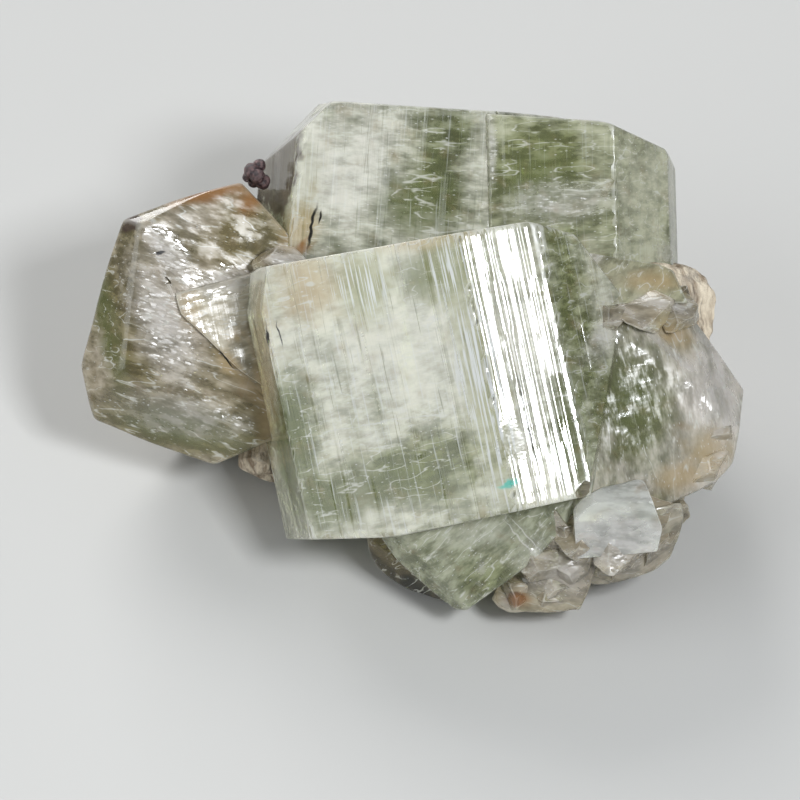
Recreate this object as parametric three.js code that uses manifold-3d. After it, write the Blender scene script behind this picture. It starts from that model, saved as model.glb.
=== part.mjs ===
// A hand specimen of apatite: stout six-sided crystals that grew into one another, with a little of the
// host rock behind and under them and a tiny cluster of dark grains. The crystals overlap and are one
// solid. The specimen rests, leaning back, on the flat break where it was taken off its rock.
import * as THREE from 'three';
import { mergeVertices } from 'three/addons/utils/BufferGeometryUtils.js';
import Module from 'manifold-3d';

const wasm = await Module();
wasm.setup();

// Millimetres and degrees. Every crystal is drawn as the specimen is looked at: x to the right, y up
// and z toward the eye, from a middle point inside the front crystal.
const LEAN_BACK = 45; // how far the whole specimen leans back onto its break
const FOOT_DEPTH = 22.6; // from the middle point straight down to the flat break
const NODE_GAP = 0.3; // clear space between the crystals, the rock and the grains
const BLANK = 160; // side of the block that every crystal is cut from
const RISER = 0.05; // half the width of the steep side of a growth ledge
const SHALLOWEST = 0.35; // depth of the shallowest ledge, as a share of the deepest
const GOLDEN_TURN = Math.PI * (3 - Math.sqrt(5)); // turn from one face of a lump to the next
const TURN_SPREAD = 0.9; // how unevenly those faces are turned, in radians
const TILT_SPREAD = 0.5; // how unevenly they are tilted
const BROKEN_IN = 0.2; // how far inside the lump's egg shape a face may lie, as a share

// The look of each piece: its colour and its roughness.
const LOOKS = {
  apatite_crystals: { color: 0x9aa583, roughness: 0.25 },
  matrix: { color: 0xa08f78, roughness: 0.9 },
  dark_grains: { color: 0x3b2a2c, roughness: 0.5 },
};

const radians = THREE.MathUtils.degToRad;
const vector = (x, y, z) => new THREE.Vector3(x, y, z);

/** Repeatable random numbers from 0 to 1, a new row of them for each seed. */
function dice(seed) {
  let state = seed >>> 0;
  return () => {
    state = (state + 0x6d2b79f5) >>> 0;
    let mixed = Math.imul(state ^ (state >>> 15), state | 1);
    mixed ^= mixed + Math.imul(mixed ^ (mixed >>> 7), mixed | 61);
    return ((mixed ^ (mixed >>> 14)) >>> 0) / 4294967296;
  };
}

/** A closed geometry as a solid that can be joined and cut. */
function solidOf(geometry) {
  const bare = geometry.index ? geometry.toNonIndexed() : geometry.clone();
  bare.deleteAttribute('normal');
  bare.deleteAttribute('uv');
  const merged = mergeVertices(bare, 1e-5);
  return new wasm.Manifold(new wasm.Mesh({
    numProp: 3,
    vertProperties: new Float32Array(merged.attributes.position.array),
    triVerts: new Uint32Array(merged.index.array),
  }));
}

const blank = () => solidOf(new THREE.BoxGeometry(BLANK, BLANK, BLANK));
const joined = (solids) => solids.reduce((whole, solid) => whole.add(solid));
const largest = (solid) => solid.decompose().sort((a, b) => b.volume() - a.volume())[0];

/** A plane face: its outward normal and a point on it. */
const faceAt = (normal, point) => ({ normal: normal.clone().normalize(), point });

/** Cuts a solid along plane faces, each moved outwards by the growth allowance. */
function cutAlong(solid, faces, grow) {
  return faces.reduce((cut, { normal, point }) => {
    const reach = normal.dot(point) + grow;
    return cut.trimByPlane([-normal.x, -normal.y, -normal.z], -reach);
  }, solid);
}

/** Places of growth ledges on one prism face, as [along the face, depth below it] pairs. */
function ledges(length, count, depth, seed) {
  const next = dice(seed);
  const spots = Array.from({ length: count }, () => next()).sort((a, b) => a - b);
  const pairs = [];
  let level = 0;
  let last = 2 * RISER;
  for (const spot of spots) {
    const along = spot * length;
    if (along < last + 3 * RISER || along > length - 4 * RISER) continue;
    const fresh = depth * (SHALLOWEST + (1 - SHALLOWEST) * next());
    const deeper = level > 0 ? 0 : fresh;
    pairs.push([along - RISER, level], [along + RISER, deeper]);
    level = deeper;
    last = along;
  }
  if (level > 0) pairs.push([length - 3 * RISER, level], [length - RISER, 0]);
  return pairs;
}

/**
 * The cross-section of a prism. Each side is [turn, reach, ledge count, ledge depth]: the face looks
 * along turn, counted from the eye toward the right, and lies reach from the axis.
 */
function prismSection(sides, grow, seed) {
  const lines = sides.map(([turn, reach]) => ({
    x: Math.cos(radians(turn)),
    y: Math.sin(radians(turn)),
    reach: reach + grow,
  }));
  const corners = lines.map((line, i) => {
    const next = lines[(i + 1) % lines.length];
    const across = line.x * next.y - line.y * next.x;
    return new THREE.Vector2(
      (line.reach * next.y - next.reach * line.y) / across,
      (line.x * next.reach - next.x * line.reach) / across,
    );
  });
  const outline = [];
  sides.forEach(([, , count = 0, depth = 0], i) => {
    const start = corners[(i + corners.length - 1) % corners.length];
    const end = corners[i];
    const way = end.clone().sub(start);
    const length = way.length();
    way.divideScalar(length);
    outline.push(start);
    for (const [along, deep] of count ? ledges(length, count, depth, seed + i) : []) {
      outline.push(new THREE.Vector2(
        start.x + way.x * along - lines[i].x * deep,
        start.y + way.y * along - lines[i].y * deep,
      ));
    }
  });
  return new THREE.Shape(outline);
}

/**
 * A six-sided crystal. Its axis leans from upright by lean toward the right and by tip toward the eye.
 * Each end face is [lean, toward, reach]: how far its normal leans from the axis, in which turn, and
 * how far it lies from the centre.
 */
function prismCrystal({ centre, lean, tip = 0, sides, ends, seed = 1 }, grow) {
  const axis = vector(
    Math.sin(radians(lean)) * Math.cos(radians(tip)),
    Math.cos(radians(lean)) * Math.cos(radians(tip)),
    Math.sin(radians(tip)),
  );
  const eye = vector(0, 0, 1);
  const toward = eye.clone().addScaledVector(axis, -axis.dot(eye)).normalize();
  const right = axis.clone().cross(toward);
  const middle = vector(...centre);
  const prism = solidOf(new THREE.ExtrudeGeometry(prismSection(sides, grow, seed), {
    depth: BLANK,
    bevelEnabled: false,
  }).translate(0, 0, -BLANK / 2).applyMatrix4(
    new THREE.Matrix4().makeBasis(toward, right, axis).setPosition(middle),
  ));
  const faces = ends.map(([away, turn, reach]) => {
    const side = toward.clone().multiplyScalar(Math.cos(radians(turn)))
      .addScaledVector(right, Math.sin(radians(turn)));
    const normal = axis.clone().multiplyScalar(Math.cos(radians(away)))
      .addScaledVector(side, Math.sin(radians(away)));
    return faceAt(normal, middle.clone().addScaledVector(normal, reach));
  });
  return cutAlong(prism, faces, grow);
}

/**
 * A crystal known by its front. The front face passes through a point and has a slope: how much nearer
 * it comes for each millimetre to the right and up. Folds turn away from the front along a line, walls
 * go straight back from a line and narrow behind it, and backs close the solid. Lines run
 * anticlockwise round the crystal.
 */
function foldedCrystal({ front, folds = [], walls = [], backs }, grow) {
  const { at, slope: [right, up] } = front;
  const frontFace = faceAt(vector(-right, -up, 1), vector(...at));
  const onFront = ([x, y]) => vector(x, y, at[2] + right * (x - at[0]) + up * (y - at[1]));
  const folded = folds.map(([from, to, angle]) => {
    const start = onFront(from);
    const outward = onFront(to).sub(start).cross(frontFace.normal).normalize();
    const normal = frontFace.normal.clone().multiplyScalar(Math.cos(radians(angle)))
      .addScaledVector(outward, Math.sin(radians(angle)));
    return faceAt(normal, start);
  });
  const upright = walls.map(([from, to, narrowing = 0, depth = 0]) => {
    const outward = vector(to[1] - from[1], from[0] - to[0], 0).normalize();
    outward.z = -Math.tan(radians(narrowing));
    return faceAt(outward, vector(from[0], from[1], depth));
  });
  const rear = backs.map(({ at: point, slope: [across, rise] }) => (
    faceAt(vector(across, rise, -1), vector(...point))
  ));
  return cutAlong(blank(), [frontFace, ...folded, ...upright, ...rear], grow);
}

/** A broken lump: a block cut by faces that look every way, as far out as an uneven egg. */
function lump({ centre, size, faces = 16, seed }, grow) {
  const next = dice(seed);
  const cuts = [];
  for (let i = 0; i < faces; i += 1) {
    const height = 1 - (2 * i + 1) / faces;
    const round = i * GOLDEN_TURN + TURN_SPREAD * next();
    const flat = Math.sqrt(1 - height * height);
    const tilt = vector(next() - 0.5, next() - 0.5, next() - 0.5).multiplyScalar(TILT_SPREAD);
    const normal = vector(flat * Math.cos(round), flat * Math.sin(round), height)
      .add(tilt).normalize();
    const egg = Math.hypot(normal.x * size[0], normal.y * size[1], normal.z * size[2]);
    const point = vector(...centre)
      .addScaledVector(normal, egg * (1 - BROKEN_IN * next()));
    cuts.push(faceAt(normal, point));
  }
  return cutAlong(blank(), cuts, grow);
}

// The big front crystal: its main face looks left of the eye, the striated bevel nearly at it.
const FRONT_CRYSTAL = {
  centre: [2.8, -2.2, 0.8],
  lean: -12.2,
  seed: 11,
  sides: [
    [-80, 16.6],
    [-20, 10.1, 34, 0.16],
    [10, 14.2, 26, 0.2],
    [40, 18.9, 12, 0.16],
    [100, 23],
    [160, 13.2],
    [220, 20.4],
  ],
  ends: [
    [2.6, 90, 15.2],
    [28, 90, 19.7],
    [64, 90, 22.6],
    [110.7, 84, 20.5],
    [73, -80, 19.1],
    [180, 0, 16.1],
    [169.6, -90, 17.1],
  ],
};

// The two parallel crystals behind it, grown side by side along one seam.
const BACK_LEFT_CRYSTAL = {
  centre: [-1.1, 18.7, -15],
  lean: 3.8,
  seed: 23,
  sides: [
    [-130, 13.5],
    [-70, 12.8, 8, 0.14],
    [-8, 9.6, 10, 0.1],
    [50, 15.9],
    [110, 16.5],
    [172, 9.6, 8, 0.14],
  ],
  ends: [
    [0, 0, 9.5],
    [48, -85, 12.1],
    [180, 0, 22],
  ],
};

const BACK_RIGHT_CRYSTAL = {
  centre: [20.4, 18.7, -15],
  lean: -1.5,
  seed: 37,
  sides: [
    [-130, 16.5],
    [-70, 13.9],
    [-8, 13.2, 8, 0.1],
    [50, 11.4, 4, 0.1],
    [80, 10.3],
    [110, 9.1],
    [172, 9, 8, 0.14],
  ],
  ends: [
    [5.4, 90, 7.7],
    [25, 90, 7.8],
    [66, 88, 10.3],
    [180, 0, 23],
  ],
};

// The left crystal: a barrel with one broad pale face, a dark upper face and a band round its end.
const LEFT_CRYSTAL = {
  front: { at: [-23.1, 3.3, -4.4], slope: [-0.03, 0.05] },
  folds: [
    [[-22.6, 7.5], [-28.7, 15.2], 15],
    [[-17.6, 18.4], [-28.7, 14.9], 60],
    [[-12.3, 12.6], [-16.2, 17.4], 58],
    [[-28.7, 15.2], [-30.4, 0.6], 46],
    [[-31, -0.6], [-25.2, -3.9], 30],
  ],
  walls: [
    [[-16.6, 19.9], [-24.2, 18], 2, -8],
    [[-24.2, 18], [-30.5, 15.5], 2, -8],
    [[-30.5, 15.5], [-32.2, 11.2], 2, -8],
    [[-32.2, 11.2], [-35.4, -0.7], 2, -8],
    [[-35.4, -0.7], [-33.9, -6.6], 3, -8],
    [[-33.9, -6.6], [-27.5, -9.3], 3, -8],
    [[-27.5, -9.3], [-20.5, -11.6], 3, -8],
    [[-20.5, -11.6], [-14, -8.6], 3, -8],
    [[-9.5, 11.1], [-12.7, 14.5], 0, 0],
    [[-12.7, 14.5], [-15.7, 19], 0, 0],
    [[-10, -13], [-9.5, 11.1], 0, 0],
  ],
  backs: [
    { at: [-24, 4, -24], slope: [0, 0] },
    { at: [-34, 4, -14], slope: [-0.9, 0] },
  ],
};

// The wedge between the left crystal and the front crystal, standing a little proud of the left one.
const WEDGE_CRYSTAL = {
  front: { at: [-21, 4, -3.8], slope: [-0.1, -0.02] },
  folds: [
    [[-12, 10.5], [-23.2, 7.6], 50],
  ],
  walls: [
    [[-12, 10.8], [-24.6, 7.5], 0, 0],
    [[-25, 8], [-24.2, 5.2], 0, 0],
    [[-24.2, 5.2], [-17.7, -1.2], 0, 0],
    [[-17.7, -1.2], [-15.5, -2.6], 0, 0],
    [[-12, -4], [-12, 10.8], 0, 0],
  ],
  backs: [
    { at: [-18, 4, -14], slope: [0, 0] },
  ],
};

// The right crystal, with a glittering bevel on its outer side and a small top face that leans back.
const RIGHT_CRYSTAL = {
  front: { at: [24.8, 6.4, 7.2], slope: [-0.2, 0.02] },
  folds: [
    [[33.2, -2.4], [26.3, 2], 26],
    [[36.6, -8.8], [33.2, -2.4], 40],
    [[21.8, -13.6], [27.8, -10], 16],
  ],
  walls: [
    [[37.9, -3.1], [34.3, 1.5], 2, -6],
    [[34.3, 1.5], [31.4, 5.6], 2, -4],
    [[31.4, 5.6], [28.7, 6.9], 2, -2],
    [[28.7, 6.8], [20, 6.4], 0, 0],
    [[24, 7], [21.4, -13.8], -20, 7],
    [[20, -16], [28.4, -16.2], 4, 0],
    [[27.6, -16.5], [34.3, -13.4], 4, 0],
    [[34.3, -13.4], [36.5, -11], 4, -2],
    [[36.5, -11], [37.2, -6.4], 3, -4],
    [[37.2, -6.4], [37.8, -3], 2, -6],
  ],
  backs: [
    { at: [28, -4, -19], slope: [0.25, 0] },
  ],
};

// The small top face beside the right crystal, olive, which leans back against the back crystal.
const TOP_WEDGE = {
  front: { at: [26.6, 6.7, 6.3], slope: [-0.14, -0.8] },
  walls: [
    [[31.2, 6], [30.6, 8.5], 14, 4],
    [[30.6, 8.5], [29.9, 10.2], 14, 3],
    [[29.9, 10.2], [28.2, 10.5], 14, 3],
    [[28.2, 10.5], [22.8, 13], 6, 2],
    [[22.8, 13], [21, 13.6], 6, 2],
    [[21, 13.6], [17, 13.9], 6, 2],
    [[17, 12], [17, 2], 0, 0],
    [[18, 6], [31, 6.2], 0, 0],
  ],
  backs: [{ at: [26, 8, -16], slope: [0, 0] }],
};

// The lower crystal, which points down to the right from under the front crystal.
const LOWER_CRYSTAL = {
  front: { at: [8.8, -22, 6.2], slope: [0.05, 0.4] },
  folds: [
    [[0.2, -19.1], [6.6, -26.4], 40],
    [[15.1, -21.8], [10.9, -17.4], 30],
  ],
  walls: [
    [[-1.6, -18.6], [0.7, -22.6], 10, -1],
    [[0.7, -22.6], [4, -25.1], 10, -1],
    [[4, -25.1], [6, -26.9], 10, -1],
    [[6, -26.9], [8, -26.9], 10, 0],
    [[8, -26.9], [12.1, -25.1], 12, 0],
    [[12.1, -25.1], [15, -21.8], 0, 0],
    [[15, -21.8], [18.9, -18.9], 0, 0],
    [[18.9, -18.9], [19.2, -15], 0, 0],
    [[19, -14.4], [-1.2, -18.7], 0, 0],
  ],
  backs: [
    { at: [8, -22, -8], slope: [0, -0.2] },
  ],
};

// The grey crystal low on the left, behind the lower crystal.
const GREY_CRYSTAL = {
  front: { at: [1, -23, -2.4], slope: [0.04, 0.2] },
  folds: [
    [[-1.8, -21], [3.4, -24.9], 34],
  ],
  walls: [
    [[-3.3, -18], [-3.3, -21.1], 10, -4],
    [[-3.3, -21.1], [-2.5, -22.9], 10, -4],
    [[-2.5, -22.9], [-1.2, -24.2], 10, -4],
    [[-1.2, -24.2], [0.8, -25.4], 10, -4],
    [[0.8, -25.4], [5.1, -26.6], 10, -4],
    [[5.2, -27], [5.2, -16], 0, 0],
    [[9, -16], [-4, -16], 0, 0],
  ],
  backs: [
    { at: [1, -22, -13], slope: [0, 0] },
  ],
};

// The small pale crystal at the lower right, with a light top face.
const PALE_CRYSTAL = {
  front: { at: [23.6, -15.7, 8.8], slope: [0, 0.3] },
  folds: [
    [[27.6, -15.5], [21.1, -15.7], 46],
    [[21.1, -15.7], [19.2, -17.5], 44],
  ],
  walls: [
    [[28.6, -17.6], [27.6, -15.2], 4, 8],
    [[27.6, -15.2], [27.1, -13.8], 4, 8],
    [[27.1, -13.8], [26.6, -13.2], 0, 0],
    [[26.6, -13.2], [24.3, -12.7], 0, 0],
    [[24.3, -12.7], [22, -14], 0, 0],
    [[22, -14], [20.3, -14.4], 0, 0],
    [[20.3, -14.4], [18.9, -16.4], 0, 0],
    [[18.9, -16.4], [19.4, -23], 0, 0],
    [[19, -21.4], [28, -20.4], 50, 6.6],
    [[28, -21], [28.6, -17.6], 8, 6],
  ],
  backs: [
    { at: [24, -18, -8], slope: [0, 0] },
  ],
};

// The broken crystalline mass along the lower right edge: three broken pieces and the lumps on them.
const BROKEN_PIECES = [
  {
    front: { at: [16.5, -23, 4.8], slope: [0.1, 0.3] },
    folds: [
      [[16.8, -20], [12.6, -27], 26],
      [[15.6, -27.6], [20.4, -24.4], 30],
    ],
    walls: [
      [[9.8, -26.3], [10.6, -27.2], 6, 2.4],
      [[10.6, -27.2], [12, -27.6], 6, 2.4],
      [[12, -27.6], [19.8, -27.6], 6, 2.4],
      [[19.8, -27.6], [20.5, -26], 6, 2.4],
      [[20.5, -26], [21.3, -22], 6, 2.4],
      [[21.3, -22], [19, -19], 0, 0],
      [[13, -20], [9.8, -26.3], 6, 2.4],
    ],
    backs: [{ at: [16, -24, -9], slope: [0, 0] }],
  },
  {
    front: { at: [24, -20, 6.4], slope: [-0.12, 0.3] },
    folds: [
      [[19.5, -20.6], [25, -21.8], 30],
      [[25, -23], [28.6, -17], 34],
      [[22.5, -18], [19.6, -20], 20],
    ],
    walls: [
      [[19, -24.6], [23, -24.6], 6, 2.4],
      [[23, -24.6], [27.9, -23.1], 6, 2.4],
      [[27.9, -23.1], [29.7, -21.6], 6, 2.4],
      [[29.7, -21.6], [30.5, -19.8], 6, 2.4],
      [[30.5, -19.8], [31, -17.8], 6, 2.4],
      [[31, -17.8], [30.8, -15], 0, 0],
      [[30.8, -15.6], [19, -17.4], 0, 0],
      [[19.2, -16], [18, -24], 0, 0],
    ],
    backs: [{ at: [24, -21, -10], slope: [0, 0] }],
  },
  {
    front: { at: [30, -14.6, 3], slope: [-0.5, -0.1] },
    walls: [
      [[26, -18.6], [30.6, -16.6], 4, 1],
      [[30.6, -16.6], [32, -13.6], 4, 1],
      [[32, -13.6], [31, -9], 0, 0],
      [[31, -9], [26, -9], 0, 0],
      [[26, -9], [26, -18], 0, 0],
    ],
    backs: [{ at: [30, -15, -12], slope: [0, 0] }],
  },
];
const BROKEN_LUMPS = [
  { centre: [17.4, -24.4, 2.2], size: [2.4, 2.2, 2.6], faces: 12, seed: 5 },
  { centre: [23, -21.4, 3.4], size: [2.6, 2, 3.2], faces: 14, seed: 6 },
  { centre: [27.4, -19.4, 2.4], size: [2.4, 2.8, 3.4], faces: 13, seed: 7 },
  { centre: [18.4, -19.6, 4], size: [2, 2.2, 2.6], faces: 12, seed: 8 },
  { centre: [29.6, -16.6, 1.4], size: [1.9, 2, 2.6], faces: 12, seed: 9 },
];

// Small knobs that stand on the crystals, and the chips and pits broken out of them: the notch at the
// lower right corner of the front crystal, the crack in the back crystal, the pits in the left one.
const KNOBS = [
  { centre: [-16.6, -4.2, -7.6], size: [1.7, 1.4, 2.4], faces: 18, seed: 51 },
  { centre: [-13, 10.6, -4.6], size: [3.4, 1.3, 3], faces: 16, seed: 52 },
  { centre: [30.6, 6.3, 1.4], size: [1.4, 1.2, 2.2], faces: 12, seed: 53 },
  { centre: [33.4, -11.6, 1.6], size: [2.4, 2.1, 3], faces: 14, seed: 54 },
  { centre: [34.8, -7.6, 1.4], size: [2.2, 2.4, 3], faces: 14, seed: 55 },
];
const PITS = [
  { centre: [20.6, -14.6, 13.4], size: [1.9, 0.9, 1.7], faces: 12, seed: 61 },
  { centre: [17.6, -15.9, 14.4], size: [1.5, 0.6, 1], faces: 10, seed: 62 },
  { centre: [-9.6, 15.6, -6], size: [0.24, 2.1, 1.1], faces: 12, seed: 63 },
  { centre: [-10.2, 12.6, -6.4], size: [0.2, 1.4, 0.9], faces: 12, seed: 64 },
  { centre: [-26.5, 11.6, -4.6], size: [0.8, 0.6, 0.5], faces: 12, seed: 65 },
  { centre: [-25.7, 8.8, -4.3], size: [0.5, 0.5, 0.4], faces: 10, seed: 66 },
];

// The rock behind and under the crystals. The first lump is its core, and the last piece is the one
// that shows at the right.
const ROCK_LUMPS = [
  { centre: [8, -5, -23], size: [22, 13, 10], faces: 24, seed: 41 },
  { centre: [-13, 3, -23], size: [12, 10, 8], faces: 18, seed: 42 },
  { centre: [9, -17, -13], size: [12, 8, 8], faces: 18, seed: 43 },
  { centre: [26, 2, -17], size: [8, 8, 9], faces: 16, seed: 44 },
  { centre: [-14.4, -9.8, -15], size: [3.2, 2.9, 4.4], faces: 18, seed: 45 },
];
const ROCK_SIDE = {
  front: { at: [33, 6, -3], slope: [-0.4, 0] },
  folds: [
    [[35, 8], [30.6, 8.8], 40],
  ],
  walls: [
    [[34.4, 1.2], [34.9, 4.7], 6, -4],
    [[34.9, 4.7], [35.3, 6.8], 6, -4],
    [[35.3, 6.8], [34.3, 9.2], 6, -4],
    [[34.3, 9.2], [31.6, 10.5], 6, -5],
    [[31.6, 10.5], [24, 10.8], 6, -5],
    [[24, 10], [24, -6], 0, 0],
    [[24, -6], [30, -6], 0, 0],
    [[30, -6], [34.4, 1.2], 6, -4],
  ],
  backs: [{ at: [30, 3, -20], slope: [0.2, 0.2] }],
};

// The dark grains, [x, y, z, radius] each, where the back crystal meets the left one.
const GRAINS = [
  [-16.4, 20.9, -11, 1],
  [-15.6, 21.6, -11.6, 0.8],
  [-15.8, 20.4, -10.6, 0.9],
  [-16.9, 20.3, -11.6, 0.6],
  [-15.2, 19.8, -11.2, 0.9],
  [-16.2, 19.9, -12.2, 0.8],
];

/** All the crystals, joined, each face moved out by the growth allowance. */
function crystals(grow) {
  return joined([
    prismCrystal(FRONT_CRYSTAL, grow),
    prismCrystal(BACK_LEFT_CRYSTAL, grow),
    prismCrystal(BACK_RIGHT_CRYSTAL, grow),
    foldedCrystal(LEFT_CRYSTAL, grow),
    foldedCrystal(WEDGE_CRYSTAL, grow),
    foldedCrystal(RIGHT_CRYSTAL, grow),
    foldedCrystal(TOP_WEDGE, grow),
    foldedCrystal(LOWER_CRYSTAL, grow),
    foldedCrystal(GREY_CRYSTAL, grow),
    foldedCrystal(PALE_CRYSTAL, grow),
    ...BROKEN_PIECES.map((one) => foldedCrystal(one, grow)),
    ...[...BROKEN_LUMPS, ...KNOBS].map((one) => lump(one, grow)),
  ]).subtract(joined(PITS.map((one) => lump(one, -grow))));
}

/** The host rock, clear of the crystals all round. Crumbs that they cut off are dropped. */
function rock() {
  const whole = joined([
    ...ROCK_LUMPS.map((one) => lump(one, 0)),
    foldedCrystal(ROCK_SIDE, 0),
  ]).subtract(crystals(NODE_GAP));
  return largest(whole);
}

/** The dark grains, clear of the crystals. */
function grains() {
  const balls = joined(GRAINS.map(([x, y, z, radius]) => (
    solidOf(new THREE.IcosahedronGeometry(radius, 1).translate(x, y, z))
  )));
  return largest(balls.subtract(crystals(NODE_GAP)));
}

/** Leans a solid back, sets its break down at height zero and cuts it flat there. */
function atRest(solid) {
  const pose = new THREE.Matrix4().makeTranslation(0, 0, FOOT_DEPTH)
    .multiply(new THREE.Matrix4().makeRotationX(radians(90 - LEAN_BACK)));
  return solid.transform(pose.elements).trimByPlane([0, 0, 1], 0);
}

/** A named mesh of a solid, with the look of its piece. */
function meshOf(name, solid) {
  const { vertProperties, triVerts } = solid.getMesh();
  const geometry = new THREE.BufferGeometry();
  geometry.setAttribute('position', new THREE.BufferAttribute(vertProperties, 3));
  geometry.setIndex(new THREE.BufferAttribute(triVerts, 1));
  geometry.computeVertexNormals();
  const material = new THREE.MeshStandardMaterial({ ...LOOKS[name], metalness: 0 });
  const mesh = new THREE.Mesh(geometry, material);
  mesh.name = name;
  return mesh;
}

const specimen = new THREE.Group();
specimen.add(
  meshOf('apatite_crystals', atRest(crystals(0))),
  meshOf('matrix', atRest(rock())),
  meshOf('dark_grains', atRest(grains())),
);

// The origin is on the surface that it rests on, under the middle of its box.
const middle = new THREE.Box3().setFromObject(specimen).getCenter(new THREE.Vector3());
specimen.position.set(-middle.x, -middle.y, 0);

export default specimen;
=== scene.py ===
# %% [markdown]
# # A cluster of apatite crystals
# This lesson dresses a mineral specimen: stout six-sided crystals that grew into one another, with a
# little brown host rock behind them and a few dark grains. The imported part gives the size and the
# place of everything. Here each crystal is worked out again as a fine surface, with worn edges, growth
# lines and small dents, and gets a glassy material with milky veils and iron stains.

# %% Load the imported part
import itertools
import math
from types import SimpleNamespace

import bpy
import numpy as np
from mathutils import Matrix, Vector
from mathutils.bvhtree import BVHTree


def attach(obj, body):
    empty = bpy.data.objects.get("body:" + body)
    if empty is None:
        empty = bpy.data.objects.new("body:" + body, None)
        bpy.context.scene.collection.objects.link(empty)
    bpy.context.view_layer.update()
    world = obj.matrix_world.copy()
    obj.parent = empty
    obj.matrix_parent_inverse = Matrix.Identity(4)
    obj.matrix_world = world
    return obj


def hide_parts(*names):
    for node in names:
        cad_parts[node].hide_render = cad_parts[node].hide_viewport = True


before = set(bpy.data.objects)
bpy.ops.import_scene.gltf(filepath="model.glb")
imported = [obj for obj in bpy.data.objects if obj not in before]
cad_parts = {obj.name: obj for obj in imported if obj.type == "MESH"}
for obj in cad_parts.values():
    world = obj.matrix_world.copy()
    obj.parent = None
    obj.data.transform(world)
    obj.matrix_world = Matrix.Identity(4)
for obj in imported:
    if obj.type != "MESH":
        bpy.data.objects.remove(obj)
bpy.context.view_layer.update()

# %% [markdown]
# The specimen is easiest to describe as it is looked at: x to the right, y up and z toward the eye, in
# millimetres from a middle point inside the front crystal. It leans back 45 degrees on its foot, so
# one turn and one shift take a point from there to its real place.

# %% From the view to the part's frame
LEAN = math.radians(45)
MIDDLE = np.array([-1.279, -8.023, 22.6])
TURN = np.array([
    [1, 0, 0],
    [0, math.cos(LEAN), -math.sin(LEAN)],
    [0, math.sin(LEAN), math.cos(LEAN)],
])
METRES = 0.001


def to_part(points):
    """Points of the view, in millimetres, as points of the part, in metres: turned, then shifted."""
    return (points @ TURN.T + MIDDLE) * METRES


def to_view(points):
    """The other way round: shifted back, then turned back."""
    return (points / METRES - MIDDLE) @ TURN


print("the middle point lies at", to_part(np.zeros((1, 3)))[0].round(4))

# %% [markdown]
# Nothing that grew is perfectly flat. A smooth noise in numpy gives every surface its slight waves. It
# could come from a Displace modifier, but a function of the place can also say where a corner is
# chipped and how deep a growth line is.

# %% Smooth noise
LATTICE = 32


def noise(points, size, seed):
    """Noise from 0 to 1 in lumps of that size: random numbers on a cubic lattice, and between them a
    blend of the eight nearest, weighted by the smoothed place inside their cube."""
    table = np.random.default_rng(seed).random((LATTICE, LATTICE, LATTICE))
    place = points / size
    cell = np.floor(place).astype(int)
    part = place - cell
    part = part * part * (3 - 2 * part)
    value = np.zeros(len(points))
    for corner in itertools.product((0, 1), repeat=3):
        weight = np.prod(np.where(corner, part, 1 - part), axis=1)
        x, y, z = ((cell + corner) % LATTICE).T
        value += weight * table[x, y, z]
    return value


def waved(points, waves, seed=0):
    """The points, moved by each wave in turn. A wave is (size, reach, number): along every axis a noise
    with lumps of that size moves a point by up to the reach."""
    for size, reach, number in waves:
        moves = [noise(points, size, seed + number + axis) - 0.5 for axis in range(3)]
        points = points + 2 * reach * np.stack(moves, axis=1)
    return points


print("noise of one point:", noise(np.zeros((1, 3)) + 0.4, 1, 1).round(3))

# %% [markdown]
# Most crystals and lumps are what is left between plane faces. Each face is an outward normal and its
# reach, the distance from the middle point along that normal. Two kinds of lists are turned into
# faces: a folded crystal by its front and what leaves it, and a broken lump by faces that look every
# way. The three prisms follow further down.

# %% Directions and the axes of a crystal
EYE = np.array([0.0, 0.0, 1.0])


def unit(vector):
    """The vector at length one."""
    return np.asarray(vector, float) / np.linalg.norm(vector)


def growth_axes(lean):
    """The axis of a crystal that leans to the right, and its two cross directions: the one nearest the
    eye, and the one to the right."""
    lean = np.radians(lean)
    axis = np.array([np.sin(lean), np.cos(lean), 0.0])
    toward = unit(EYE - axis * (axis @ EYE))
    return axis, toward, np.cross(axis, toward)


# %% Faces of a folded crystal
def face(normal, point):
    """A plane face as its unit normal and its reach along it."""
    normal = unit(normal)
    return normal, normal @ np.asarray(point, float)


def folded_faces(front, folds=(), walls=(), backs=()):
    """The front face passes through a point and comes nearer by its slope. A fold turns away from the
    front by its angle along a line. Walls go straight back from a run of points and narrow by their
    angle, and a back closes the solid."""
    at, (right, up) = np.array(front[0], float), front[1]
    front_normal = unit([-right, -up, 1])

    def on_front(x, y):
        return np.array([x, y, at[2] + right * (x - at[0]) + up * (y - at[1])])

    faces = [face(front_normal, at)]
    for start, end, angle in folds:
        outward = unit(np.cross(on_front(*end) - on_front(*start), front_normal))
        turn = math.radians(angle)
        faces.append(face(front_normal * math.cos(turn) + outward * math.sin(turn), on_front(*start)))
    for narrowing, depth, run in walls:
        for start, end in itertools.pairwise(run):
            outward = unit([end[1] - start[1], start[0] - end[0], 0])
            outward[2] = -math.tan(math.radians(narrowing))
            faces.append(face(outward, [*start, depth]))
    for point, (across, rise) in backs:
        faces.append(face([across, rise, -1], point))
    return faces


# %% Faces of a broken lump
GOLDEN_TURN = math.pi * (3 - math.sqrt(5))
TURN_CHANCE = 0.9
TILT_CHANCE = 0.5
LEAST_REACH = 0.8


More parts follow.
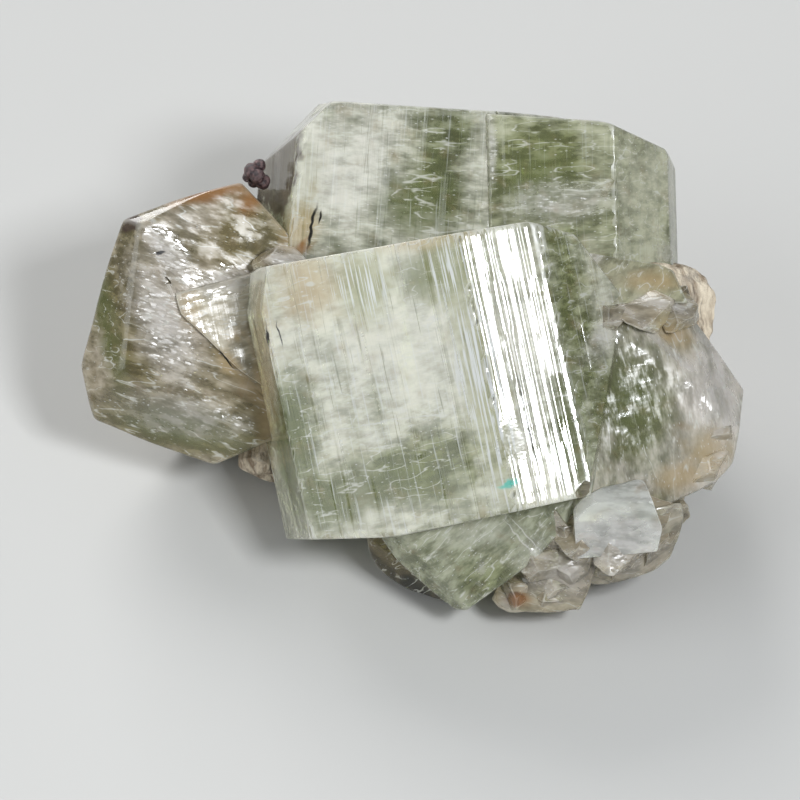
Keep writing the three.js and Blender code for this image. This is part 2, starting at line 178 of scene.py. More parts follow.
def lump_faces(centre, size, count, seed):
    """Faces spread over a ball by the golden turn, tilted at random, as far out as an uneven egg."""
    chance = np.random.default_rng(seed)
    height = 1 - (2 * np.arange(count) + 1) / count
    turn = np.arange(count) * GOLDEN_TURN + TURN_CHANCE * chance.random(count)
    flat = np.sqrt(1 - height * height)
    normals = np.stack([flat * np.cos(turn), flat * np.sin(turn), height], axis=1)
    normals += TILT_CHANCE * (chance.random((count, 3)) - 0.5)
    normals /= np.linalg.norm(normals, axis=1, keepdims=True)
    egg = np.linalg.norm(normals * np.array(size), axis=1)
    reach = egg * (LEAST_REACH + 0.2 * chance.random(count))
    points = np.array(centre) + normals * reach[:, None]
    return [face(normal, point) for normal, point in zip(normals, points)]


# %% [markdown]
# A flat-faced solid becomes a mesh one face at a time. Each face is a grid of two parameters: one runs
# round its rim and one runs from the rim to its middle, with close rows near the rim. The rim points of
# neighbours are the same, so the patches weld into one closed skin. Last, every point slides along its
# ray from the centre to a rounded version of the solid, which wears the edges but keeps the faces.

# %% Corners and edges
# Places nearer than the first are one corner, a point that far outside a face still counts as inside,
# and three faces with a smaller determinant never meet.
MEET = 1e-3
SLACK = 1e-6
PARALLEL = 1e-7


def corners_of(normals, reaches):
    """Every point where three faces meet that lies behind all the others, and for each corner and
    each face whether they belong together."""
    trios = np.array(list(itertools.combinations(range(len(normals)), 3)))
    trios = trios[np.abs(np.linalg.det(normals[trios])) > PARALLEL]
    points = np.linalg.solve(normals[trios], reaches[trios][..., None])[..., 0]
    inside = (points @ normals.T <= reaches + SLACK).all(axis=1)
    places, index = np.unique((points[inside] / MEET).round(), axis=0, return_inverse=True)
    belongs = np.zeros((len(places), len(normals)), bool)
    belongs[index.reshape(-1)[:, None], trios[inside]] = True
    return places * MEET, belongs


def edge_points(start, end, spacing):
    """Evenly spaced points from start up to end, the same ones whichever side asks for them."""
    first, last = sorted([tuple(start), tuple(end)])
    first, last = np.array(first), np.array(last)
    count = max(1, math.ceil(np.linalg.norm(last - first) / spacing))
    line = first + (last - first) * (np.arange(count + 1) / count)[:, None]
    line[-1] = last
    return (line if np.array_equal(first, start) else line[::-1])[:-1]


# %% One face, and the skin of all of them
# The first rows are set, wider ones follow step by step until the last, a share of the way in.
RIM_ROWS = np.array([0, 0.1, 0.24, 0.42, 0.68])
FIRST_WIDE_ROW = 1.1
ROW_STEP = 1.5
LAST_ROW = 0.9
WELD = 1e-4


def patch(polygon, spacing):
    """One flat face. Around its rim the points are evenly spaced along each edge, and inward each
    row is the rim drawn in toward the middle by its share of the way."""
    middle = polygon.mean(axis=0)
    following = np.roll(polygon, -1, axis=0)
    rim = np.concatenate([edge_points(*edge, spacing) for edge in zip(polygon, following)])
    depth = np.linalg.norm(rim - middle, axis=1).min()
    rows = np.concatenate([RIM_ROWS, np.arange(FIRST_WIDE_ROW, depth, ROW_STEP * spacing)])
    share = np.append(rows[rows < LAST_ROW * depth], depth) / depth
    grid = rim + share[:, None, None] * (middle - rim)
    grid[-1] = middle
    around = np.arange(len(rim))
    ring = np.arange(len(share) - 1)[:, None] * len(rim)
    after = np.roll(around, -1)
    quads = np.stack([ring + around, ring + after, ring + len(rim) + after, ring + len(rim) + around], -1)
    return grid.reshape(-1, 3), quads.reshape(-1, 4)


def weld(points, faces):
    """One vertex for all points that share a place, and no face that has lost a side by it."""
    _, first, index = np.unique((points / WELD).round(), axis=0, return_index=True, return_inverse=True)
    faces = index.reshape(-1)[faces]
    triangles = np.concatenate([faces[:, [0, 1, 2]], faces[:, [0, 2, 3]]])
    a, b, c = triangles.T
    return points[first], triangles[(a != b) & (b != c) & (c != a)]


def rounded_solid(faces, spacing, sharpness):
    """The closed skin of the solid between plane faces. Along each ray the radius is the power mean of
    the distances at which the ray meets the faces, so a high sharpness keeps the edges crisp."""
    normals = np.array([normal for normal, _ in faces])
    reaches = np.array([reach for _, reach in faces])
    corners, belongs = corners_of(normals, reaches)
    centre = corners.mean(axis=0)
    points, quads, total = [], [], 0
    for normal, member in zip(normals, belongs.T):
        polygon = corners[member]
        if len(polygon) < 3:
            continue
        arm = polygon - polygon.mean(axis=0)
        side = unit(arm[0])
        angle = np.arctan2(arm @ np.cross(normal, side), arm @ side)
        grid, cells = patch(polygon[np.argsort(angle)], spacing)
        points.append(grid)
        quads.append(cells + total)
        total += len(grid)
    points, triangles = weld(np.concatenate(points), np.concatenate(quads))
    ray = points - centre
    length = np.linalg.norm(ray, axis=1, keepdims=True)
    nearness = np.maximum((ray / length) @ normals.T, 0) / (reaches - normals @ centre)
    most = nearness.max(axis=1, keepdims=True)
    mean = (nearness / most)**sharpness
    radius = 1 / (most[:, 0] * mean.sum(axis=1)**(1 / sharpness))
    return centre + ray / length * radius[:, None], triangles


# %% [markdown]
# The prisms carry growth lines: narrow strips along the whole crystal, each a little higher or lower
# than the next. So a prism is a profile carried along its axis. The profile has two points for each
# strip and three for each worn corner. A noise along the axis makes each strip deeper here and
# shallower there, and chips the corners. Beyond the sides the same profile shrinks to a point and makes
# the two ends.

# %% The growth lines of one side
# A side that isn't given a number of strips and their depth has these.
PLAIN_SIDE = (3, 0.03)
NARROWEST = 0.16
RISER = 0.05
RISER_SHARE = 0.3
STRIP_TILT = 0.25


def strips(length, count, depth, margin, chance):
    """Strips of uneven width across one side, as places along it and their depth below it. A narrow
    riser leads from one to the next, and all but the first and last are a little tilted."""
    edges = np.sort(chance.random(count)) * length
    edges = edges[(edges > margin) & (edges < length - margin)]
    edges = edges[np.diff(edges, prepend=-1) > NARROWEST]
    if not len(edges):
        return np.zeros(0), np.zeros(0)
    riser = np.minimum(RISER, RISER_SHARE * np.diff(edges, append=length).clip(0.1))
    level = depth * chance.random(len(edges) + 1)**1.5
    tilt = STRIP_TILT * depth * (chance.random(len(edges) + 1) - 0.5)
    level[[0, -1]] = tilt[[0, -1]] = 0
    along = np.stack([edges - riser, edges + riser], axis=1).reshape(-1)
    deep = np.stack([level[:-1] + tilt[:-1], level[1:] - tilt[1:]], axis=1).reshape(-1)
    return along, deep.clip(0)


# %% The profile of a prism
PLAIN_STEP = 1.1
CLEAR_OF_STRIPS = 0.25
CORNER_DEPTH = 0.8
SIDE_NUMBERS = 100
CORNER_NUMBER = 99


def side_rows(number, start, end, outward, growth, corner_reach, chance):
    """One side from worn corner to worn corner: a point at either edge of each riser, and at even
    steps where no strip is near. Each row has its place, its inward direction, depth and strip."""
    length = np.linalg.norm(end - start)
    way = (end - start) / length
    along, deep = strips(length, *growth, 2 * corner_reach, chance)
    plain = np.arange(corner_reach, length - corner_reach, PLAIN_STEP)
    plain_deep = 0 * plain
    if len(along):
        gap = np.abs(plain[:, None] - along).min(axis=1)
        plain = plain[(gap > CLEAR_OF_STRIPS) | (plain == corner_reach)]
        plain_deep = np.interp(plain, along, deep)
    places = np.concatenate([plain, along, [length - corner_reach]])
    depths = np.concatenate([plain_deep, deep, [0]])
    depths[0] = 0
    order = np.argsort(places)
    places, depths = places[order], depths[order]
    strip = SIDE_NUMBERS * number + np.searchsorted(along[::2], places)
    inward = np.tile(-outward, (len(places), 1))
    return np.column_stack([start + way * places[:, None], inward, depths, strip])


def corner_row(number, place, outward, after, corner_reach):
    """The middle point of a worn corner, which lies on the short arc between its two sides."""
    bend = math.acos(np.clip(outward @ after, -1, 1)) / 2
    worn = corner_reach / math.tan(bend) * (1 / math.cos(bend) - 1)
    inward = -unit(outward + after)
    strip = SIDE_NUMBERS * number + CORNER_NUMBER
    return np.array([[*(place + inward * worn), *inward, CORNER_DEPTH * corner_reach, strip]])


def profile(sides, corner_reach, chance):
    """The outline of a prism in such rows. Sides are lines at their reach from the axis, and a sharp
    corner is where two of them cross."""
    turns = np.radians([side[0] for side in sides])
    lines = np.stack([np.cos(turns), np.sin(turns)], axis=1)
    reach = np.array([side[1] for side in sides], float)
    after, reach_after = np.roll(lines, -1, axis=0), np.roll(reach, -1)
    across = lines[:, 0] * after[:, 1] - lines[:, 1] * after[:, 0]
    corner = np.stack([
        (reach * after[:, 1] - reach_after * lines[:, 1]) / across,
        (lines[:, 0] * reach_after - after[:, 0] * reach) / across,
    ], axis=1)
    rows = []
    for number, side in enumerate(sides):
        ends = corner[number - 1], corner[number]
        growth = side[2:] or PLAIN_SIDE
        rows.append(side_rows(number, *ends, lines[number], growth, corner_reach, chance))
        rows.append(corner_row(number, corner[number], lines[number], after[number], corner_reach))
    return np.concatenate(rows)


# %% The two ends of a prism
# The rim is the radius of the worn edge, and the steps are how far in from it each row is drawn.
RIM = 0.25
THINNEST = 4 * RIM
HALVINGS = 30
END_STEPS = np.array([0, 0.05, 0.14, 0.28, 0.5, 0.85, 1.4, 2.2, 3.4, 5, 7, 9.5, 12.5, 16])


def soft_least(values, softness=0.12):
    """The least of each row, rounded where two are nearly equal."""
    low = values.min(axis=1, keepdims=True)
    return low[:, 0] - softness * np.log(np.exp(-(values - low) / softness).sum(axis=1))


def end_heights(ends):
    """Two functions of the place across a prism, for the height of its top and of its bottom: the soft
    least of the heights of the end faces there. An end face is [lean, turn, reach]."""
    leans = np.radians([end[0] for end in ends])
    turns = np.radians([end[1] for end in ends])
    reach = np.array([end[2] for end in ends], float)
    rise = np.cos(leans)
    slope = np.sin(leans)[:, None] * np.stack([np.cos(turns), np.sin(turns)], axis=1)

    def top(spot):
        return soft_least((reach[rise > 0] - spot @ slope[rise > 0].T) / rise[rise > 0])

    def bottom(spot):
        return -soft_least((reach[rise < 0] - spot @ slope[rise < 0].T) / -rise[rise < 0])

    return top, bottom


def kept_thick(outline, top, bottom):
    """The outline, drawn in toward the axis wherever top and bottom nearly meet, just far enough that
    the prism has its least height there. Halving finds how far."""
    def thick(spot):
        return top(spot) - bottom(spot) > THINNEST

    low, high = np.zeros(len(outline)), np.ones(len(outline))
    for _ in range(HALVINGS):
        share = (low + high) / 2
        fits = thick(share[:, None] * outline)
        low, high = np.where(fits, share, low), np.where(fits, high, share)
    return outline * np.where(thick(outline), 1, low)[:, None]


def end_rows(edge, size, heights, sign):
    """The rows of one end: its edge drawn in toward the axis step by step, with a quarter circle at
    the rim."""
    rows = []
    for step in END_STEPS:
        share = np.clip(1 - step / size.mean(), 0, 1)
        spot = edge[:, :2] * share
        gap = (1 - share) * size
        drop = RIM - np.sqrt((RIM**2 - (RIM - gap).clip(0)**2).clip(0))
        rows.append(np.column_stack([spot, heights(spot) - sign * drop]))
    return rows


# %% A prism from its profile and its ends
# In the noise of the strips, the first keeps neighbours apart, and the others say how fast a strip and
# a chipped corner change along the axis.
STRIP_APART = 3.7
STRIP_CHANGE = 0.17
CHIP_CHANGE = 1.4


def share_of_depth(strip, height, seed):
    """How much of its depth each point of one row has. On the sides it follows a slow noise, widened
    and kept between 0.3 and 1. On the corners it is 2.6 times what a faster noise has above its middle,
    so chips are far apart."""
    seeds = np.full(len(height), seed)
    slow = np.column_stack([strip * STRIP_APART, height * STRIP_CHANGE, seeds])
    fast = np.column_stack([strip * STRIP_APART, height * CHIP_CHANGE, seeds])
    chips = (noise(fast, 1, seed + 5) - 0.5).clip(0) * 2.6
    lines = (noise(slow, 1, seed + 6) * 2.6 - 0.5).clip(0.3, 1)
    return np.where(strip % SIDE_NUMBERS == CORNER_NUMBER, chips, lines)


def ring_faces(rings, around):
    """Triangles of a closed stack of rings, with one more point at each end for its pole."""
    here = np.arange(around)
    after = np.roll(here, -1)
    ring = np.arange(rings - 1)[:, None] * around
    a, b, c, d = ring + here, ring + after, ring + around + after, ring + around + here
    walls = [np.stack(three, -1).reshape(-1, 3) for three in ([a, b, c], [a, c, d])]
    last = (rings - 1) * around
    bottom = np.stack([after, here, np.full(around, rings * around)], -1)
    top = np.stack([last + here, last + after, np.full(around, rings * around + 1)], -1)
    return np.concatenate([*walls, bottom, top])


def prism(centre, lean, sides, ends, seed, row, corner_reach=0.28):
    """A prism in rows along its axis. Each row is the profile at its height, with every point sunk by
    its share of its depth, and beyond the first and last row follow the ends."""
    axis, toward, right = growth_axes(lean)
    place_x, place_y, in_x, in_y, deep, strip = profile(sides, corner_reach, np.random.default_rng(seed)).T
    inward = np.stack([in_x, in_y], axis=1)
    top, bottom = end_heights(ends)
    outline = kept_thick(np.stack([place_x, place_y], axis=1), top, bottom)
    floor, roof = bottom(outline) + RIM, top(outline) - RIM
    rows = []
    for share in np.linspace(0, 1, math.ceil((roof - floor).max() / row) + 1):
        height = floor + (roof - floor) * share
        depth = deep * share_of_depth(strip, height, seed)
        rows.append(np.column_stack([outline + inward * depth[:, None], height]))
    size = np.linalg.norm(outline, axis=1)
    low_end, high_end = end_rows(rows[0], size, bottom, -1), end_rows(rows[-1], size, top, 1)
    grid = np.stack(low_end[::-1] + rows[1:-1] + high_end)
    middle = np.zeros((1, 2))
    poles = [[0, 0, bottom(middle)[0]], [0, 0, top(middle)[0]]]
    flat = np.concatenate([grid.reshape(-1, 3), poles])
    points = np.array(centre) + flat[:, :1] * toward + flat[:, 1:2] * right + flat[:, 2:] * axis
    return points, ring_faces(*grid.shape[:2])


# %% [markdown]
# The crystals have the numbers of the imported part. The front crystal and the two behind it are prisms,
# with sides as [turn, reach, strips, depth] and ends as [lean, turn, reach]. The others are known by
# the face that they show, by the lines along which it folds away, and by the walls round it. Walls are
# (narrowing, depth, run), from each point of the run to the next.

# %% The three prisms
FRONT = dict(
    centre=[2.8, -2.2, 0.8], lean=-12.2, seed=11, row=0.55,
    sides=[[-80, 16.6], [-20, 10.1, 44, 0.05], [10, 14.2, 54, 0.08], [40, 18.9, 22, 0.07],
           [100, 23], [160, 13.2], [220, 20.4]],
    ends=[[2.6, 90, 15.2], [28, 90, 19.7], [64, 90, 22.6], [110.7, 84, 20.5], [73, -80, 19.1],
          [180, 0, 16.1], [169.6, -90, 17.1]],
)
BACK_LEFT = dict(
    centre=[-1.1, 18.7, -15], lean=3.8, seed=23, row=0.8,
    sides=[[-130, 13.5], [-70, 12.8, 6, 0.03], [-8, 9.6, 9, 0.03], [50, 15.9], [110, 16.5],
           [172, 9.6, 8, 0.05]],
    ends=[[0, 0, 9.5], [48, -85, 12.1], [180, 0, 22]],
)
BACK_RIGHT = dict(
    centre=[20.4, 18.7, -15], lean=-1.5, seed=37, row=0.8, corner_reach=0.08,
    sides=[[-130, 16.5], [-70, 13.9], [-8, 13.2, 8, 0.03], [50, 11.4, 6, 0.06], [80, 10.3],
           [110, 9.1], [172, 9, 8, 0.14]],
    ends=[[5.4, 90, 7.7], [25, 90, 7.8], [66, 88, 10.3], [180, 0, 23]],
)

# %% The left crystal and the wedge beside it
LEFT = dict(
    front=([-23.1, 3.3, -4.4], [-0.03, 0.05]),
    folds=[
        ([-22.6, 7.5], [-28.7, 15.2], 15), ([-17.6, 18.4], [-28.7, 14.9], 60),
        ([-12.3, 12.6], [-16.2, 17.4], 58), ([-28.7, 15.2], [-30.4, 0.6], 46),
        ([-31, -0.6], [-25.2, -3.9], 30),
    ],
    walls=[
        (2, -8, [(-16.6, 19.9), (-24.2, 18), (-30.5, 15.5), (-32.2, 11.2), (-35.4, -0.7)]),
        (3, -8, [(-35.4, -0.7), (-33.9, -6.6), (-27.5, -9.3), (-20.5, -11.6), (-14, -8.6)]),
        (0, 0, [(-9.5, 11.1), (-12.7, 14.5), (-15.7, 19)]), (0, 0, [(-10, -13), (-9.5, 11.1)]),
    ],
    backs=[([-24, 4, -24], [0, 0]), ([-34, 4, -14], [-0.9, 0])],
)
WEDGE = dict(
    front=([-21, 4, -3.8], [-0.1, -0.02]),
    folds=[([-12, 10.5], [-23.2, 7.6], 50)],
    walls=[
        (0, 0, [(-12, 10.8), (-24.6, 7.5)]), (0, 0, [(-25, 8), (-24.2, 5.2), (-17.7, -1.2), (-15.5, -2.6)]),
        (0, 0, [(-12, -4), (-12, 10.8)]),
    ],
    backs=[([-18, 4, -14], [0, 0])],
)

# %% The right crystal and its small top face
RIGHT = dict(
    front=([24.8, 6.4, 7.2], [-0.2, 0.02]),
    folds=[([33.2, -2.4], [26.3, 2], 26), ([36.6, -8.8], [33.2, -2.4], 40),
           ([21.8, -13.6], [27.8, -10], 16)],
    walls=[
        (2, -6, [(37.9, -3.1), (34.3, 1.5)]), (2, -4, [(34.3, 1.5), (31.4, 5.6)]),
        (2, -2, [(31.4, 5.6), (28.7, 6.9)]), (0, 0, [(28.7, 6.8), (20, 6.4)]),
        (-20, 7, [(22.4, 7), (19.8, -13.8)]), (4, 0, [(19, -16), (28.4, -16.2)]),
        (4, 0, [(27.6, -16.5), (34.3, -13.4)]), (4, -2, [(34.3, -13.4), (36.5, -11)]),
        (3, -4, [(36.5, -11), (37.2, -6.4)]), (2, -6, [(37.2, -6.4), (37.8, -3)]),
    ],
    backs=[([28, -4, -19], [0.25, 0])],
)
TOP_WEDGE = dict(
    front=([26.6, 6.7, 6.3], [-0.14, -0.8]),
    walls=[
        (14, 4, [(31.2, 6), (30.6, 8.5)]), (14, 3, [(30.6, 8.5), (29.9, 10.2), (28.2, 10.5)]),
        (6, 2, [(28.2, 10.5), (22.8, 13), (21, 13.6), (17, 13.9)]), (0, 0, [(17, 12), (17, 2)]),
        (0, 0, [(18, 6), (31, 6.2)]),
    ],
    backs=[([26, 8, -16], [0, 0])],
)

# %% The lower, grey and pale crystals
LOWER = dict(
    front=([8.8, -22, 6.2], [0.05, 0.4]),
    folds=[([0.2, -19.1], [6.6, -26.4], 40), ([15.1, -21.8], [10.9, -17.4], 30)],
    walls=[
        (10, -1, [(-1.6, -18.6), (0.7, -22.6), (4, -25.1), (6, -26.9)]), (10, 0, [(6, -26.9), (8, -26.9)]),
        (12, 0, [(8, -26.9), (12.1, -25.1)]),
        (0, 0, [(12.1, -25.1), (15, -21.8), (18.9, -18.9), (19.2, -15)]),
        (0, 0, [(19, -14.4), (-1.2, -18.7)]),
    ],
    backs=[([8, -22, -8], [0, -0.2])],
)
GREY = dict(
    front=([1, -23, -2.4], [0.04, 0.2]),
    folds=[([-1.8, -21], [3.4, -24.9], 34)],
    walls=[
        (10, -4, [(-3.3, -18), (-3.3, -21.1), (-2.5, -22.9), (-1.2, -24.2), (0.8, -25.4), (5.1, -26.6)]),
        (0, 0, [(5.2, -27), (5.2, -16)]), (0, 0, [(9, -16), (-4, -16)]),
    ],
    backs=[([1, -22, -13], [0, 0])],
)
PALE = dict(
    front=([23.6, -15.7, 8.8], [0, 0.3]),
    folds=[([27.6, -15.5], [21.1, -15.7], 46), ([21.1, -15.7], [19.2, -17.5], 44)],
    walls=[
        (4, 8, [(28.6, -17.6), (27.6, -15.2), (27.1, -13.8)]),
        (0, 0, [(27.1, -13.8), (26.6, -13.2), (24.3, -12.7), (22, -14), (20.3, -14.4), (18.9, -16.4),
                (19.4, -23)]),
        (50, 6.6, [(19, -21.4), (28, -20.4)]), (8, 6, [(28, -21), (28.6, -17.6)]),
    ],
    backs=[([24, -18, -8], [0, 0])],
)

# %% The broken mass at the lower right
BROKEN = [
    dict(
        front=([16.5, -23, 4.8], [0.1, 0.3]),
        folds=[([16.8, -20], [12.6, -27], 26), ([15.6, -27.6], [20.4, -24.4], 30)],
        walls=[
            (6, 2.4, [(9.8, -26.3), (10.6, -27.2), (12, -27.6), (19.8, -27.6), (20.5, -26), (21.3, -22)]),
            (0, 0, [(21.3, -22), (19, -19)]), (6, 2.4, [(13, -20), (9.8, -26.3)]),
        ],
        backs=[([16, -24, -9], [0, 0])],
    ),
    dict(
        front=([24, -20, 6.4], [-0.12, 0.3]),
        folds=[([19.5, -20.6], [25, -21.8], 30), ([25, -23], [28.6, -17], 34),
               ([22.5, -18], [19.6, -20], 20)],
        walls=[
            (6, 2.4, [(19, -24.6), (23, -24.6), (27.9, -23.1), (29.7, -21.6), (30.5, -19.8), (31, -17.8)]),
            (0, 0, [(31, -17.8), (30.8, -15)]), (0, 0, [(30.8, -15.6), (19, -17.4)]),
            (0, 0, [(19.2, -16), (18, -24)]),
        ],
        backs=[([24, -21, -10], [0, 0])],
    ),
    dict(
        front=([30, -14.6, 3], [-0.5, -0.1]),
        walls=[
            (4, 1, [(26, -18.6), (30.6, -16.6), (32, -13.6)]),
            (0, 0, [(32, -13.6), (31, -9), (26, -9), (26, -18)]),
        ],
        backs=[([30, -15, -12], [0, 0])],
    ),
]

# %% Lumps, knobs and pits
# Each is (centre, size, number of faces, seed).
BROKEN_LUMPS = [
    ([17.4, -24.4, 2.2], [2.4, 2.2, 2.6], 12, 5), ([23, -21.4, 3.4], [2.6, 2, 3.2], 14, 6),
    ([27.4, -19.4, 2.4], [2.4, 2.8, 3.4], 13, 7), ([18.4, -19.6, 4], [2, 2.2, 2.6], 12, 8),
    ([29.6, -16.6, 1.4], [1.9, 2, 2.6], 12, 9),
    ([24, -19.4, 4.9], [4.3, 2.1, 2.2], 11, 71), ([20.4, -19.8, 5], [2.8, 2.3, 2.6], 10, 72),
    ([27.2, -17.4, 5], [2, 2.4, 2.6], 12, 73), ([15.4, -22.4, 5], [2.4, 1.8, 1.8], 12, 74),
    ([18.8, -22.2, 4.6], [1.9, 2.2, 2], 12, 75), ([13, -25, 2.8], [1.8, 1.2, 1.5], 12, 76),
    ([25.4, -20.6, 4.6], [2, 1.3, 1.9], 12, 77), ([22, -22.6, 3.6], [1.6, 1.4, 1.6], 12, 78),
    ([29.2, -18.6, 2.6], [1.4, 1.5, 2], 12, 79), ([16.4, -26, 2.6], [2, 1.2, 1.6], 12, 80),
]
KNOBS = [
    ([-16.6, -4.2, -7.6], [1.7, 1.4, 2.4], 18, 51), ([-13, 10.6, -4.6], [3.4, 1.3, 3], 16, 52),
    ([30.6, 6.3, 1.4], [1.4, 1.2, 2.2], 12, 53), ([33.4, -11.6, 1.6], [2.4, 2.1, 3], 14, 54),
    ([34.8, -7.6, 1.4], [2.2, 2.4, 3], 14, 55), ([26, 5.7, 5.6], [4.4, 1.3, 1.9], 13, 56),
    ([30.4, 5, 4], [2.6, 1.8, 2.4], 12, 57), ([22.6, 4.6, 7], [2.2, 1.6, 1.4], 12, 58),
]
PITS = [
    ([20.6, -14.6, 13.4], [1.9, 0.9, 1.7], 12, 61), ([17.6, -15.9, 14.4], [1.5, 0.6, 1], 10, 62),
    ([-26.5, 11.6, -4.6], [0.8, 0.6, 0.5], 12, 65), ([-25.7, 8.8, -4.3], [0.5, 0.5, 0.4], 10, 66),
]

# %% [markdown]
# Each crystal is made as a closed skin of its own, waved a little, and then all are joined with
# Boolean modifiers. The Manifold solver does that in a moment and carries the number of each crystal
# along on its faces, which later tells the material which way a crystal grew. The joined skin has no
# walls inside, so light passes through the cluster as through one piece of glass.

# %% Meshes and their values
def placed(name, data):
    """A new object of the scene that holds a mesh, a lamp or a lens."""
    made = bpy.data.objects.new(name, data)
    bpy.context.scene.collection.objects.link(made)
    return made


def mesh_object(name, points, triangles, number=0):
    """A mesh of points of the view, with the number of its crystal on every face."""
    mesh = bpy.data.meshes.new(name)
    mesh.from_pydata(to_part(points), [], triangles)
    crystal = mesh.attributes.new("crystal", "INT", "FACE")
    crystal.data.foreach_set("value", np.full(len(triangles), number, np.int32))
    return placed(name, mesh)


def read(parts, name, width=1, kind=np.float32):
    """One value of every vertex, edge, corner or face of a mesh, as an array."""
    values = np.zeros(len(parts) * width, kind)
    parts.foreach_get(name, values)
    return values if width == 1 else values.reshape(-1, width)


def keep(mesh, name, values, domain):
    """Keeps three numbers for every corner or vertex of a mesh, under a name that materials read."""
    attribute = mesh.attributes.new(name, "FLOAT_VECTOR", domain)
    attribute.data.foreach_set("vector", values.astype(np.float32).reshape(-1))


# %% Joining and cutting
def combine(whole, others, operation):
    """Joins the others to the whole or takes them from it, and removes them."""
    for other in others:
        step = whole.modifiers.new("join", "BOOLEAN")
        step.operation, step.object, step.solver = operation, other, "MANIFOLD"
    bpy.context.view_layer.update()
    graph = bpy.context.evaluated_depsgraph_get()
    mesh = bpy.data.meshes.new_from_object(whole.evaluated_get(graph))
    whole.modifiers.clear()
    whole.data = mesh
    for other in others:
        bpy.data.objects.remove(other)


def ground_block(reach=0.1, depth=0.05):
    """A block whose top is the height of the table."""
    corners = np.array(list(itertools.product((-reach, reach), (-reach, reach), (-depth, 0.0))))
    quads = [(0, 1, 3, 2), (4, 6, 7, 5), (0, 4, 5, 1), (2, 3, 7, 6), (0, 2, 6, 4), (1, 5, 7, 3)]
    mesh = bpy.data.meshes.new("ground")
    mesh.from_pydata(corners, [], quads)
    return placed("ground", mesh)


# %% The crystals as one skin
# Folded crystals have their spacing and their sharpness. The waves of a prism hardly show, and those of
# a broken lump crumple it.
FOLDED = [
    (LEFT, 0.36, 80), (WEDGE, 0.45, 60), (RIGHT, 0.4, 60), (TOP_WEDGE, 0.45, 60), (LOWER, 0.42, 70),
    (GREY, 0.5, 50), (PALE, 0.45, 70),
]
PRISM_WAVES = [(7, 0.04, 70)]
FOLDED_WAVES = [(4, 0.07, 70), (0.9, 0.012, 80)]
BROKEN_WAVES = [(2.4, 0.2, 70), (0.8, 0.07, 80)]


def skin(made, waves, seed=0):
    """The points and triangles of a solid, with the points waved."""
    points, triangles = made
    return waved(points, waves, seed), triangles


SKINS = [
    *[skin(prism(**crystal), PRISM_WAVES) for crystal in (FRONT, BACK_LEFT, BACK_RIGHT)],
    *[skin(rounded_solid(folded_faces(**piece), *fineness), FOLDED_WAVES) for piece, *fineness in FOLDED],
    *[skin(rounded_solid(folded_faces(**piece), 0.5, 50), BROKEN_WAVES) for piece in BROKEN],
    *[skin(rounded_solid(lump_faces(*lump), 0.5, 90), BROKEN_WAVES) for lump in BROKEN_LUMPS + KNOBS],
]
print("crystals and lumps:", len(SKINS), "triangles before joining:", sum(len(one[1]) for one in SKINS))
crystals, *others = [mesh_object("crystals", *one, number) for number, one in enumerate(SKINS)]
combine(crystals, others, "UNION")
print("joined:", len(crystals.data.polygons))

# %% [markdown]
# Two things are cut away. The specimen was broken off its rock, so everything under the height of the
# table goes, which leaves its flat foot. And small chips and pits are missing from some crystals.

# %% The foot and the pits
pits = [mesh_object("pit", *rounded_solid(lump_faces(*pit), 0.3, 30), len(SKINS)) for pit in PITS]
combine(crystals, [*pits, ground_block()], "DIFFERENCE")
print("after the cuts:", len(crystals.data.polygons))

# %% [markdown]
# Worn edges shade smoothly, but where two crystals meet there is a real crease. So every face is
# smooth and an edge stays sharp only where it bends by more than a set angle.

# %% Smooth faces and sharp creases
CREASE = math.radians(38)


def shade(piece):
    """Smooth shading, with the edges that bend by more than the crease angle kept sharp."""
    mesh = piece.data
    mesh.polygons.foreach_set("use_smooth", np.ones(len(mesh.polygons), bool))
    mesh.set_sharp_from_angle(angle=CREASE)
    mesh.update()


shade(crystals)

# %% [markdown]
# The growth of a crystal shows in its veils and lines, which follow its own axis. Every corner of the
# mesh therefore gets its place in its crystal's axes, in millimetres, the colours of that crystal where
# it is clear and where it is milky, and three shares: how milky, how stained, how strongly lined.

# %% How each crystal grew and looks
# Each crystal has its lean, its clear and its milky colour, and the three shares.
LOOKS = [
    (-12.2, "868c56", "faf8e6", (0.7, 0.15, 1)), (3.8, "7c8256", "faf7ec", (0.6, 0.1, 0.7)),
    (-1.5, "7f8456", "dcdbc2", (0.5, 0, 0.4)), (17, "8c8058", "e8dccc", (0.4, 0.3, 0.1)),
    (-12, "a89c72", "f2ead6", (0.62, 0.35, 0.2)), (78, "9a9b78", "fbf2ea", (0.55, 0.25, 0.1)),
    (-60, "a0a07e", "d0ccb0", (0.5, 0.2, 0.1)), (-43, "969b74", "d4d6c2", (0.5, 0.1, 0.3)),
    (-35, "2c2820", "5e574a", (0.4, 0.9, 0.1)), (0, "b4b4a6", "eeeee8", (0.8, 0.1, 0)),
    (20, "9c907a", "dcd2bc", (0.55, 0.7, 0)), (-20, "a29a88", "dcd3c0", (0.55, 0.6, 0)),
    (5, "a09378", "ded2b8", (0.5, 0.8, 0)),
]
LUMP_LOOK = (0, "9e937c", "dcd2be", (0.5, 0.7, 0))
APART = 31.7


def colour(card):
    """A colour written as on a paint card, in the linear values that shaders use."""
    parts = np.array([int(card[k:k + 2], 16) for k in (0, 2, 4)]) / 255
    linear = np.where(parts < 0.04045, parts / 12.92, ((parts + 0.055) / 1.055)**2.4)
    return [*linear.tolist(), 1.0]


